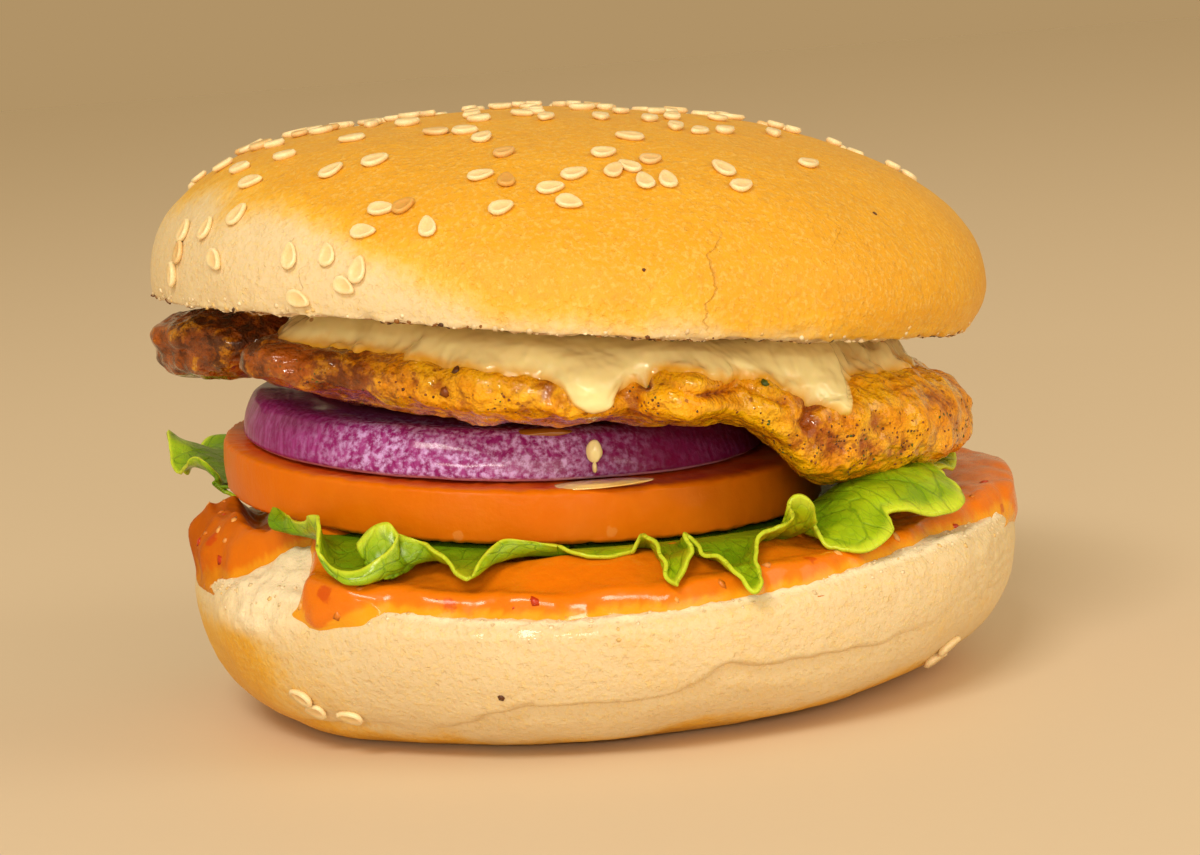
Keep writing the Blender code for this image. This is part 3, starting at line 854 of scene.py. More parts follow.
def onion_surface():
    spots = slice_spots(ONION_CENTRE, ONION_RADIUS, ONION_THICK, TOMATO_THICK + GAP, ONION_TAPER,
                        0.5, 0.8)
    x, y, z = parts(spots)
    rise = (z - stack_level(x, y, TOMATO_THICK + GAP)) / ONION_THICK
    away = np.hypot(x - ONION_CENTRE[0], y - ONION_CENTRE[1])
    inner = ONION_RADIUS - 5.0 - away
    height = 0.10 * layered(spots, 8.0, 2, 67)
    grooves = np.where(inner > 0.0, np.exp(-((inner % 4.4 - 2.2) / 0.35) ** 2), 0.0)
    height -= 0.35 * grooves * np.where(rise > 0.98, 1.0, 0.0)
    skin_share = ease(ONION_RADIUS - 8.0, ONION_RADIUS - 5.0, away + 1.6 * rise)
    angle = bearing(x - ONION_CENTRE[0], y - ONION_CENTRE[1])
    return raised(spots, height), {"skin": skin_share, "rise": rise, "turn": angle / 360.0}


# ------------------------------ chicken

FILLET_COLUMNS = 620
FILLET_REACH = 42.5
# Bearing, width and how far the outline moves out there
FILLET_LOBES = ((262.0, 34.0, 2.6), (214.0, 12.0, 8.5), (179.0, 21.0, -15.5), (344.0, 30.0, 5.6),
                (284.0, 6.0, 2.4), (275.0, 3.0, -1.4), (293.5, 3.5, -1.4))
FILLET_BLUNT = 3.0
FRONT_CROWDING = 28.0


def crowd_front(angle):
    return (angle - FRONT_CROWDING * sine(angle - 270.0)) % 360.0


def fillet_reach(angle):
    return swollen(angle, FILLET_REACH, FILLET_LOBES)


def fillet_under(x, y):
    away = np.hypot(x - ONION_CENTRE[0], y - ONION_CENTRE[1])
    past_tomato = np.hypot(x - TOMATO_CENTRE[0], y) - TOMATO_RADIUS
    hang = 5.6 * ease(ONION_RADIUS + 2.0, ONION_RADIUS + 7.0, away) * ease(15.0, 25.0, x)
    hang += 3.8 * ease(1.0, 6.0, past_tomato) * ease(19.0, 27.0, x)
    lift = 3.2 * ease(16.0, 44.0, -x) * ease(20.0, 36.0, away)
    arch = 1.6 * bell(x, 12.0, 3.5) * ease(-34.0, -42.0, y)
    return onion_top(x, y) + GAP - hang + lift + arch


def fillet_top(x, y):
    return crown_cut(x, y) - 2.0 * GAP - CREAM_THICK


def fillet_section(angle, turn):
    """Point of the fillet's section at turn degrees above (+) or below (-) its rim."""
    radius = fillet_reach(angle) * np.maximum(0.0, cosine(turn)) ** (2.0 / FILLET_BLUNT)
    height = np.abs(sine(turn)) ** (2.0 / FILLET_BLUNT)
    x, y = polar(angle, radius)
    under, over = fillet_under(x, y), fillet_top(x, y)
    middle = mix(under, over, 0.5)
    return rows(x, y, middle + np.sign(turn) * height * (over - middle))


def curve_distance(x, z, line):
    """Distance from points in the front view to a bent line, and the share along it."""
    best = np.full(x.shape, 1e9)
    where = np.zeros(x.shape)
    line = np.array(line, float)
    steps = np.linalg.norm(np.diff(line, axis=0), axis=1)
    start = np.concatenate([[0.0], np.cumsum(steps)])
    for first, second, length, before in zip(line[:-1], line[1:], steps, start):
        way = (second - first) / length
        share = np.clip((x - first[0]) * way[0] + (z - first[1]) * way[1], 0.0, length)
        away = np.hypot(x - first[0] - share * way[0], z - first[1] - share * way[1])
        where = np.where(away < best, (before + share) / start[-1], where)
        best = np.minimum(best, away)
    return best, where


# Lines of the rolled flap at the front, as (x, z) in millimetres, each with height and width.
FLAP_LINES = (
    (((5.5, 49.5), (7.5, 47.0), (11.5, 46.2), (16.5, 45.0), (21.0, 42.5)), 1.25, 1.5),
    (((6.5, 45.5), (9.0, 43.5), (13.5, 43.0), (19.0, 40.6)), 1.0, 1.2),
    (((7.0, 41.5), (10.5, 39.6), (15.0, 39.6), (21.0, 38.0)), 0.8, 1.1),
    (((13.0, 49.0), (17.0, 47.6), (22.0, 45.2)), 0.7, 0.9),
)
FLAP_GROOVES = (
    (((4.6, 50.0), (5.4, 46.5), (6.0, 43.5)), 1.5, 0.8),
    (((7.0, 48.0), (11.5, 44.7), (17.0, 43.2), (22.0, 40.8)), 0.8, 0.5),
    (((7.6, 43.4), (12.0, 41.4), (17.0, 41.4), (22.0, 38.8)), 0.7, 0.45),
    (((27.5, 44.0), (26.0, 40.0), (25.0, 36.0)), 1.0, 0.8),
)


def fillet_relief(spots):
    """Height of the grilled meat: lumps, fibres, the rolled flap and the torn right end."""
    x, y, z = parts(spots)
    front = ease(-14.0, -26.0, y)
    height = 0.75 * layered(spots, 8.5, 2, 71) + 0.34 * layered(spots, 3.1, 2, 73)
    height += 0.26 * (ridged(spots, 2.4, 3, 75) - 0.6) + 0.10 * layered(spots, 1.2, 2, 76)
    bent = spots + 1.5 * rows(lumps(spots, 7.0, 77), lumps(spots, 7.0, 78), lumps(spots, 7.0, 79))
    torn = ease(22.0, 32.0, x)
    lean = rows(bent[..., 0] + 0.35 * bent[..., 2], bent[..., 1],
                0.28 * bent[..., 2] - 0.1 * bent[..., 0])
    height += torn * 0.8 * (ridged(lean, 3.2, 3, 81) - 0.62)
    left = ease(-4.0, -14.0, x)
    height += left * 0.35 * (ridged(bent * np.array([1.0, 1.0, 1.5]), 3.6, 3, 83) - 0.6)
    for line, tall, width in FLAP_LINES:
        away, along = curve_distance(x, z, line)
        ends = np.sin(math.pi * np.clip(along, 0.04, 0.96)) ** 0.4
        height += front * tall * bell(away, 0.0, width) * ends
    for line, deep, width in FLAP_GROOVES:
        away, _ = curve_distance(x, z, line)
        height -= front * deep * bell(away, 0.0, width)
    return height


def fillet_turns():
    low = np.linspace(-90.0, -62.0, 14)[:-1]
    side = np.linspace(-62.0, 62.0, 128)
    return np.concatenate([low, side, -low[::-1]])


def fillet_surface():
    """The fillet's smooth skin and the height of its relief."""
    turn = fillet_turns()[:, None]
    angle = crowd_front(turns_of(FILLET_COLUMNS))[None, :]
    angle, turn = np.broadcast_arrays(angle, turn)
    spots = fillet_section(angle, turn)
    return spots, fillet_relief(spots) * ease(0.0, 24.0, 90.0 - np.abs(turn))


def fillet_masks(spots, height):
    x, z = spots[..., 0], spots[..., 2]
    char = ease(-12.0, -40.0, x) * ease(0.15, 0.75, layered(spots, 7.0, 3, 85) + 0.35)
    char = np.maximum(char, ease(0.2, 0.7, layered(spots, 4.0, 3, 87) - 0.45))
    char = np.maximum(char, 0.9 * np.exp(-((x - 5.3) / 2.0) ** 2 - ((z - 49.0) / 1.7) ** 2))
    char = np.maximum(char, 0.7 * np.exp(-((x - 20.6) / 1.5) ** 2 - ((z - 42.5) / 1.2) ** 2))
    # hollow_shade_and_browning: painted shade that darkens the relief's hollows, plus real browning
    # toward the left end
    return {"char": char, "hollow_shade_and_browning": np.clip(0.5 - 0.42 * height + 0.42 * ease(-16.0, -34.0, x), 0.0, 1.0)}


def side_piece_surface():
    centre, size = (-43.2, 1.5, 47.4), (12.6, 11.5, 4.4)
    angle = (np.arange(240) * 1.5)[None, :]
    turn = np.linspace(-90.0, 90.0, 120)[:, None]
    out = rows(cosine(turn) ** 0.8 * cosine(angle), cosine(turn) ** 0.8 * sine(angle),
               np.sign(turn) * np.abs(sine(turn)) ** 0.8)
    lump = 1.0 + 0.13 * lumps(out * 7.0, 6.0, 91)
    spots = np.array(centre) + np.array(size) * lump[..., None] * out
    height = 0.55 * layered(spots, 4.2, 3, 93) + 0.3 * (ridged(spots, 2.6, 2, 95) - 0.6)
    height = height * ease(0.0, 20.0, 90.0 - np.abs(turn))
    # The second mask is painted shade in the hollows of the relief
    return raised(spots, height), {"char": ease(-0.5, 0.5, layered(spots, 5.0, 3, 97) + 0.2),
                                   "hollow_shade_and_browning": np.clip(0.5 - 0.6 * height, 0.0, 1.0)}


# ------------------------------ cream sauce

CREAM_COLUMNS = 560
CREAM_END = 27.0
# Bearing, width and how much lower (-) or higher the cream ends there, in degrees
CREAM_DRIPS = ((270.5, 6.0, -36.0), (258.0, 10.0, -10.0), (290.0, 12.0, -10.0), (312.0, 4.0, -20.0),
               (346.0, 20.0, 16.0))
# The film folds back under itself at CREAM_FOLD, and its rings are close as far up as CREAM_FLAT
CREAM_FOLD = -34.0
CREAM_FLAT = 44.0
CREAM_SMOOTHING = 5 * (4, 3, 2, 1)


def cream_end(angle):
    """Where the cream ends on the fillet, in degrees above its rim."""
    return swollen(angle, CREAM_END + 4.0 * sine(7.0 * angle), CREAM_DRIPS)


def cream_surface():
    """Closed film on the fillet: an underside inside the meat and a flowing top."""
    angle = crowd_front(turns_of(CREAM_COLUMNS))[None, :]
    under = np.linspace(90.0, CREAM_FOLD, 12)[:-1]
    over = np.concatenate([np.linspace(CREAM_FOLD, CREAM_FLAT, 110),
                           np.linspace(CREAM_FLAT + 2.0, 90.0, 20)])
    turn = np.concatenate([under, over])[:, None]
    angle, turn = np.broadcast_arrays(angle, turn)
    base = fillet_section(angle, turn)
    meat = fillet_relief(base) * ease(0.0, 24.0, 90.0 - np.abs(turn))
    ragged = 5.0 * layered(base, 6.5, 2, 101) + 2.4 * layered(base, 2.2, 2, 103)
    inside = turn - cream_end(angle) + ragged
    full = 1.25 * (1.0 + 0.3 * layered(base, 5.0, 2, 105)) * ease(-4.0, 14.0, inside) + 0.25
    edge = np.clip(inside / 5.0, 0.0, 1.0)
    thick = np.where(inside < 0.0, -0.7 * ease(0.0, -4.0, inside),
                     full * np.sqrt(1.0 - (1.0 - edge) ** 2))
    lower = np.arange(len(turn))[:, None] < len(under)
    thick = np.where(lower, -1.0, thick)
    smooth = 0.25 * meat + thick + 0.25
    over_meat = 0.5 * (smooth + meat + 0.2 + np.sqrt((smooth - meat - 0.2) ** 2 + 0.3))
    poured = mix(meat + thick, over_meat, ease(0.0, 8.0, inside))
    ways = np.concatenate([-ways_out(base[:len(under)], False), ways_out(base[len(under):], False)])
    spots = base + ways * np.where(lower, meat + thick, poured)[..., None]
    flows = np.where(lower, 0.0, 0.5 * ease(3.0, 12.0, inside))[..., None]
    for step in CREAM_SMOOTHING:
        spots = mix(spots, 0.5 * (np.roll(spots, step, 1) + np.roll(spots, -step, 1)), flows)
    spots = raised(spots, flows[..., 0])
    x, y = spots[..., 0], spots[..., 1]
    fill = crown_cut(x, y) - 0.15
    lifted = mix(spots[..., 2], fill, ease(2.0, 14.0, inside) * ease(24.0, CREAM_FLAT, turn))
    spots[..., 2] = np.where(lower, spots[..., 2], np.maximum(spots[..., 2], lifted))
    spots[..., 2] = np.minimum(spots[..., 2], fill)
    return spots, {"depth": np.clip(thick / 1.2, 0.0, 1.0)}


# ------------------------------ lettuce

# Each leaf: the bearings between which it leaves the stack, and its frilled edge as
# (x, y, z) in millimetres, in order round the burger.
LEAF_EDGES = {
    "lettuce_front_left": ((214.0, 262.0), (
        (-39.5, -22.0, 29.4), (-37.6, -27.0, 28.2), (-35.6, -32.0, 28.4), (-34.4, -35.0, 29.6),
        (-33.2, -38.0, 29.6), (-33.4, -41.0, 27.0), (-31.9, -42.5, 24.8), (-29.4, -43.5, 24.0),
        (-26.4, -43.0, 25.0), (-24.2, -41.5, 27.0), (-24.9, -40.0, 28.8), (-27.4, -39.5, 28.0),
        (-28.6, -40.0, 26.4), (-26.0, -39.0, 27.6), (-22.8, -40.0, 26.9), (-20.4, -42.0, 26.0),
        (-18.1, -45.0, 24.3), (-16.0, -47.5, 22.6), (-14.5, -45.0, 24.4), (-12.0, -42.0, 26.0),
        (-9.0, -40.5, 25.4), (-5.6, -40.0, 24.6))),
    "lettuce_front": ((262.0, 303.0), (
        (-6.0, -39.5, 24.6), (-2.6, -41.5, 23.3), (0.5, -42.0, 22.8), (3.2, -41.0, 23.4),
        (4.4, -41.5, 25.4), (5.7, -44.0, 24.8), (6.6, -47.0, 23.3), (6.9, -49.5, 21.6),
        (7.8, -51.0, 20.6), (8.6, -49.0, 21.9), (9.8, -46.0, 23.7), (9.2, -43.5, 25.4),
        (10.2, -43.0, 24.8), (11.3, -46.0, 23.4), (13.0, -48.0, 23.0), (14.4, -50.0, 22.0),
        (15.4, -51.5, 20.6), (16.5, -52.3, 19.6), (17.5, -51.0, 20.3), (17.4, -48.0, 21.7),
        (17.2, -45.0, 23.2), (18.5, -42.5, 24.4), (20.0, -41.0, 24.9), (21.2, -41.5, 25.3),
        (21.9, -42.5, 26.6), (21.4, -43.0, 27.6), (22.1, -43.0, 28.5), (23.2, -42.5, 28.6),
        (24.3, -42.0, 27.7), (24.7, -40.5, 26.0), (24.9, -38.5, 24.6))),
    "lettuce_right": ((304.0, 375.0), (
        (24.6, -37.5, 25.0), (25.2, -39.5, 22.6), (27.4, -40.5, 21.4), (30.0, -40.5, 21.0),
        (32.4, -39.5, 21.6), (34.0, -37.5, 22.9), (33.5, -35.5, 24.2), (35.0, -35.0, 24.6),
        (37.6, -34.0, 23.9), (40.0, -32.5, 23.3), (42.8, -30.0, 23.5), (43.6, -27.0, 24.4),
        (42.4, -24.0, 25.8), (41.4, -20.0, 27.0), (41.8, -16.0, 26.2), (44.5, -11.0, 25.2),
        (45.4, -5.0, 26.4), (44.4, 0.0, 25.0), (43.8, 5.0, 25.6), (41.5, 9.5, 25.2))),
}
# Leaves behind: bearings, reach and height of the edge, and how much both wave.
LEAF_RUNS = {
    "lettuce_back": ((22.0, 128.0), 48.5, 25.4, 2.6, 2.0, 19),
    "lettuce_left": ((134.0, 179.0), 61.0, 30.5, 0.8, 4.0, 4),
}
LEAF_CORE = 15.0
# Where a leaf puffs out between root and edge: bearing, width, outwards and upwards (mm)
LEAF_SWELLS = {
    "lettuce_front_left": ((234.0, 7.0, 3.4, -2.6), (248.0, 5.0, 1.0, -1.0)),
    "lettuce_front": ((278.5, 2.5, -1.5, 0.5), (290.0, 4.0, 1.6, -0.6), (299.0, 3.0, 1.0, -0.5)),
    "lettuce_right": ((322.0, 15.0, 0.0, 5.6), (345.0, 16.0, 0.0, 3.0), (309.0, 5.0, 1.0, 0.6)),
    "lettuce_left": ((158.0, 20.0, 1.0, 1.5),),
}


def smooth_line(points, count):
    """Evenly spaced points on a smooth curve through the given ones."""
    points = np.array(points, float)
    padded = np.vstack([2 * points[0] - points[1], points, 2 * points[-1] - points[-2]])
    spots = []
    for before, first, second, after in zip(padded[:-3], padded[1:-2], padded[2:-1], padded[3:]):
        share = np.linspace(0.0, 1.0, 24, endpoint=False)[:, None]
        spots.append(0.5 * (2 * first + (second - before) * share
                            + (2 * before - 5 * first + 4 * second - after) * share ** 2
                            + (3 * first - before - 3 * second + after) * share ** 3))
    spots = np.vstack(spots + [points[-1:]])
    walked = np.concatenate([[0.0], np.cumsum(np.linalg.norm(np.diff(spots, axis=0), axis=1))])
    at = np.linspace(0.0, walked[-1], count)
    return np.stack([np.interp(at, walked, spots[:, axis]) for axis in range(3)], axis=1), at


def run_edge(span, reach, level, wave_out, wave_up, waves):
    """Edge points of a leaf behind, frilled by a fixed rule."""
    points = []
    for step in range(2 * waves + 1):
        share = step / (2 * waves)
        angle = mix(span[0], span[1], share)
        swing = 1.0 if step % 2 else -1.0
        ends = math.sin(math.pi * min(0.96, max(0.04, share))) ** 0.5
        x, y = polar(angle, mix(40.0, reach + wave_out * swing * math.cos(2.3 * step), ends))
        points.append((float(x), float(y), level + wave_up * swing * (0.6 + 0.4 * math.sin(1.7 * step))))
    return points


def tomato_edge(angle):
    centre = TOMATO_CENTRE[0]
    return centre * cosine(angle) + np.sqrt(TOMATO_RADIUS ** 2 - (centre * sine(angle)) ** 2)


def sauce_floor(x, y):
    """Height of the burger sauce under a point, falling away past the rim."""
    radius, angle = np.hypot(x, y), bearing(x, y)
    reach = sauce_reach(angle)
    top = heel_cut(x) + GAP + sauce_thickness(angle, radius) * ease(reach, reach - 2.0, radius)
    return top - 6.0 * ease(51.0, 54.5, radius)


def leaf_surface(span, edge, seed, swells=()):
    """Rows of points from inside the stack to the frilled edge, with masks.

    Each swell (bearing, width, outwards, upwards) puffs the leaf out there between its
    root and its edge.
    """
    columns = 760 if len(edge) > 30 else 560
    margin, walked = smooth_line(edge, columns)
    turn = np.unwrap(np.radians(bearing(margin[:, 0], margin[:, 1])))
    width = columns // 9
    kernel = np.hanning(2 * width + 1)
    kernel /= kernel.sum()
    turn = np.convolve(np.pad(turn, width, mode="edge"), kernel, mode="valid")
    turn = np.maximum.accumulate(turn)
    turn = (turn - turn[0]) / (turn[-1] - turn[0])
    angle = mix(span[0], span[1], turn)
    root = tomato_edge(angle) + 1.2
    x, y = polar(angle, root)
    start = rows(x, y, stack_level(x, y, -GAP - LEAF_THICK))
    reach = np.linalg.norm(margin - start, axis=1)
    outward = rows(cosine(angle), sine(angle), 0.0 * angle)
    control = start + outward * (0.55 * reach)[:, None] + np.array([0.0, 0.0, 0.6])
    spots = []
    for step in range(5):
        px, py = polar(angle, mix(LEAF_CORE, root, step / 5.0))
        spots.append(rows(px, py, stack_level(px, py, -GAP - LEAF_THICK)))
    steps = 46
    share = np.linspace(0.0, 1.0, steps)[:, None, None]
    sheet = (1 - share) ** 2 * start + 2 * share * (1 - share) * control + share ** 2 * margin
    edge_turn = bearing(margin[:, 0], margin[:, 1])
    for centre, width, out_by, up_by in swells:
        puff = hump(edge_turn, centre, width)[:, None] * (out_by * outward + np.array([0.0, 0.0, up_by]))
        sheet = sheet + 4.0 * share * (1.0 - share) * puff
    spots = np.concatenate([np.array(spots), sheet])
    out = np.concatenate([np.zeros(5), np.linspace(0.0, 1.0, steps)])[:, None]
    crinkle = 0.30 * layered(spots, 5.0, 2, seed) + 0.07 * layered(spots, 1.8, 2, seed + 3)
    frill = 0.14 * np.sin(walked * 2.0 * math.pi / 4.3 + 2.0 * lumps(margin, 6.0, seed + 5))[None, :]
    height = crinkle * ease(0.0, 0.35, out) + frill * out ** 4
    spots = raised(spots, height, closed=False)
    floor = sauce_floor(spots[..., 0], spots[..., 1]) + 0.25
    spots[..., 2] = np.where(spots[..., 2] < floor, floor + 0.1 * (spots[..., 2] - floor), spots[..., 2])
    return spots, {"out": out + 0.0 * spots[..., 0], "along": walked[None, :] / 10.0 + 0.0 * out}


def leaf_piece(name, spots, masks, thick):
    """A leaf as a thin closed sheet."""
    count, columns = spots.shape[:2]
    start = np.arange(count - 1)[:, None] * columns + np.arange(columns - 1)
    quads = np.stack([start, start + 1, start + columns + 1, start + columns], axis=-1)
    masks = {title: values.ravel() for title, values in masks.items()}
    leaf = new_object(name, spots.reshape(-1, 3), quads.reshape(-1, 4)[:, ::-1].tolist(), masks)
    wall = leaf.modifiers.new("Thickness", "SOLIDIFY")
    wall.thickness = thick * MM
    wall.offset = 0.0
    apply_modifiers(leaf)
    return leaf


def apply_modifiers(thing):
    """Turns the evaluated object into its own plain mesh and drops its modifiers."""
    graph = bpy.context.evaluated_depsgraph_get()
    mesh = bpy.data.meshes.new_from_object(thing.evaluated_get(graph), preserve_all_data_layers=True,
                                           depsgraph=graph)
    thing.modifiers.clear()
    thing.data = mesh
    return thing


# ------------------------------ small things

def loose_grain(name, shape, rim_at):
    """An unlinked object from a bmesh, with its rim marked."""
    mesh = bpy.data.meshes.new(name)
    shape.to_mesh(mesh)
    shape.free()
    mark(mesh, "rim", np.clip([rim_at(point.co) for point in mesh.vertices], 0.0, 1.0))
    mesh.shade_smooth()
    return bpy.data.objects.new(name, mesh)


def grain_mesh(name, length, width, thick, ridge):
    """A small teardrop seed lying in its own XY plane, with a raised lighter rim."""
    shape = bmesh.new()
    around, rings = 12, ((0.0, 1.0), (0.62, 0.92), (0.84, 1.0), (1.0, 0.35), (0.8, -0.5))
    middle = shape.verts.new((0.0, 0.0, 0.5 * thick * (1.0 - ridge)))
    loops = []
    for share, rise in rings[1:]:
        loop = []
        level = 0.5 * thick * rise * (1.0 + (ridge if share > 0.8 else -ridge))
        for step in range(around):
            turn = 2.0 * math.pi * step / around
            narrow = 1.0 - 0.34 * math.cos(turn)
            loop.append(shape.verts.new((0.5 * length * share * math.cos(turn),
                                         0.5 * width * share * narrow * math.sin(turn), level)))
        loops.append(loop)
    bottom = shape.verts.new((0.0, 0.0, -0.5 * thick))
    for step in range(around):
        nearby = (step + 1) % around
        shape.faces.new((middle, loops[0][step], loops[0][nearby]))
        for inner, outer in zip(loops[:-1], loops[1:]):
            shape.faces.new((inner[step], outer[step], outer[nearby], inner[nearby]))
        shape.faces.new((loops[-1][step], bottom, loops[-1][nearby]))
    bmesh.ops.recalc_face_normals(shape, faces=shape.faces)
    return loose_grain(name, shape, lambda spot: math.hypot(spot.x / length, spot.y / width) * 4.0 - 1.0)


def flake_mesh(name, seed, flat=0.5):
    """A small irregular crumb, one unit across."""
    shape = bmesh.new()
    bmesh.ops.create_icosphere(shape, subdivisions=1, radius=0.5)
    draw = np.random.default_rng(seed)
    for vertex in shape.verts:
        vertex.co *= float(draw.uniform(0.7, 1.25))
        vertex.co.z *= flat
    return loose_grain(name, shape, lambda spot: 0.0)


# Attributes that the sprinkle tree reads at each point
POINT_VECTORS = ("tilt", "stretch", "upright")


def sprinkle_tree():
    """Geometry nodes that put one grain on each point, by the points' own attributes."""
    tree = bpy.data.node_groups.new("Sprinkle", "GeometryNodeTree")
    tree.is_modifier = True
    for title, kind, value in (("Geometry", "Geometry", None), ("Grain", "Object", None),
                               ("Size", "Float", 1.0), ("Sink", "Float", 0.0),
                               ("Material", "Material", None)):
        socket = tree.interface.new_socket(title, in_out="INPUT", socket_type="NodeSocket" + kind)
        if value is not None:
            socket.default_value = value
    tree.interface.new_socket("Geometry", in_out="OUTPUT", socket_type="NodeSocketGeometry")
    given = tree.nodes.new("NodeGroupInput").outputs
    grain = node(tree, "GeometryNodeObjectInfo", {"Object": given["Grain"]})
    tilt, stretch, upright = (
        node(tree, "GeometryNodeInputNamedAttribute", {"Name": title},
             data_type="FLOAT_VECTOR").outputs["Attribute"] for title in POINT_VECTORS)
    turned = node(tree, "FunctionNodeEulerToRotation", {0: tilt})
    scaled = vector_maths(tree, "SCALE", first=stretch, by=given["Size"])
    sunk = vector_maths(tree, "SCALE", first=upright, by=given["Sink"])
    seated = node(tree, "GeometryNodeSetPosition", {"Geometry": given["Geometry"], "Offset": sunk})
    placed = node(tree, "GeometryNodeInstanceOnPoints", {
        "Points": seated.outputs["Geometry"], "Instance": grain.outputs["Geometry"],
        "Rotation": turned.outputs[0], "Scale": scaled})
    real = node(tree, "GeometryNodeRealizeInstances", {"Geometry": placed.outputs["Instances"]})
    finished = node(tree, "GeometryNodeSetMaterial", {"Geometry": real.outputs["Geometry"],
                                                      "Material": given["Material"]})
    result = tree.nodes.new("NodeGroupOutput")
    tree.links.new(finished.outputs["Geometry"], result.inputs["Geometry"])
    return tree


def socket_id(tree, title):
    return next(item.identifier for item in tree.interface.items_tree
                if item.item_type == "SOCKET" and item.in_out == "INPUT" and item.name == title)


def sprinkle(name, spots, normals, spins, stretch, tints, grain, size, sink, finish_with, slot):
    """One mesh piece of grains at spots in millimetres, standing along the normals."""
    piece = new_object(name, spots, [], {"tint": tints})
    tilts = []
    for normal, spin in zip(normals, spins):
        upright = Vector(normal).to_track_quat("Z", "Y").to_matrix()
        tilts.append(tuple((upright @ Matrix.Rotation(spin, 3, "Z")).to_euler()))
    for title, values in zip(POINT_VECTORS, (tilts, stretch, normals)):
        mark(piece.data, title, values, "FLOAT_VECTOR", "vector")
    tree = bpy.data.node_groups.get("Sprinkle") or sprinkle_tree()
    modifier = piece.modifiers.new("Sprinkle", "NODES")
    modifier.node_group = tree
    for title, value in (("Grain", grain), ("Size", size), ("Sink", sink), ("Material", finish_with)):
        modifier[socket_id(tree, title)] = value
    apply_modifiers(piece)
    bpy.data.objects.remove(grain)
    for title in POINT_VECTORS:
        if title in piece.data.attributes:
            piece.data.attributes.remove(piece.data.attributes[title])
    piece.data.shade_smooth()
    finish(piece, finish_with, slot)


def surface_points(thing, wanted, weight, seed, apart):
    """Random points on a piece's faces where weight(centres, normals) is high, kept apart (mm)."""
    faces = thing.data.polygons
    centres, normals, areas = (np.empty(len(faces) * width) for width in (3, 3, 1))
    for key, values in (("center", centres), ("normal", normals), ("area", areas)):
        faces.foreach_get(key, values)
    centres, normals = centres.reshape(-1, 3) / MM, normals.reshape(-1, 3)
    chance = areas * np.maximum(0.0, weight(centres, normals))
    if chance.sum() <= 0.0:
        raise RuntimeError("no face of " + thing.name + " takes any grains")
    draw = np.random.default_rng(seed)
    order = draw.choice(len(faces), size=min(len(faces), wanted * 6), p=chance / chance.sum())
    kept = [int(order[0])]
    for face in order[1:]:
        if len(kept) == wanted:
            break
        if np.linalg.norm(centres[kept] - centres[face], axis=1).min() > apart:
            kept.append(int(face))
    return centres[kept], normals[kept], draw


def front_point(thing, x, z, seen_from=-400.0):
    """The first point of a piece met from the front at x, z in millimetres, with its normal."""
    start = Vector((x * MM, seen_from * MM, z * MM))
    hit, spot, normal, _ = thing.ray_cast(start, Vector((0.0, 1.0, 0.0)))
    if not hit:
        raise RuntimeError("nothing of " + thing.name + " lies in front at " + str((x, z)))
    return np.array(spot) / MM, np.array(normal)


# ------------------------------ settings

def colour_setting(title, value, about):
    return bpy.props.FloatVectorProperty(name=title, subtype="COLOR", size=3, min=0.0, max=1.0,
                                         default=value, description=about)


def length_setting(title, value, about):
    return bpy.props.FloatProperty(name=title, default=value, min=0.0, unit="LENGTH", description=about)


class BunSettings(bpy.types.PropertyGroup):
    pale: colour_setting("Pale crust", (0.79, 0.63, 0.385), "Crust that the oven left pale")
    blush: colour_setting("Blush crust", (0.83, 0.58, 0.23), "Crust between pale and golden")
    golden: colour_setting("Golden crust", (0.86, 0.47, 0.026), "Well baked crust")
    freckle: colour_setting("Crust freckles", (0.93, 0.66, 0.20), "Fine light freckles of the crust")
    deep: colour_setting("Deep crust", (0.78, 0.375, 0.014), "Darkest baked crust")
    # Also painted as shade into the crown's cracks
    speck_and_crack_shade: colour_setting("Crust specks", (0.42, 0.17, 0.03), "Dimples and cracks in the crust")
    crumb: colour_setting("Crumb", (0.94, 0.79, 0.54), "The cut bread")
    seed: colour_setting("Sesame", (0.98, 0.82, 0.52), "Raw sesame seeds")
    toasted: colour_setting("Toasted sesame", (0.72, 0.40, 0.09), "Seeds that took colour")
    seed_length: length_setting("Seed length", 0.0034, "Length of one sesame seed")
    seed_count: bpy.props.IntProperty(name="Scattered seeds", default=150, min=0, max=600,
                                      description="Seeds scattered over the top and back of the crown")


class SauceSettings(bpy.types.PropertyGroup):
    burger: colour_setting("Burger sauce", (0.78, 0.19, 0.003), "The orange burger sauce")
    thin: colour_setting("Thin burger sauce", (0.86, 0.36, 0.01), "Burger sauce where it lies thin")
    heap: colour_setting("Heaped burger sauce", (0.46, 0.10, 0.001), "Burger sauce in the thick heap")
    cream: colour_setting("Cream sauce", (1.0, 0.86, 0.43), "The pale sauce on the chicken")
    stained: colour_setting("Stained cream", (0.86, 0.44, 0.03), "Pale sauce mixed with the marinade")
    juice: colour_setting("Juice", (0.34, 0.12, 0.01), "Brown juice that runs off the chicken")


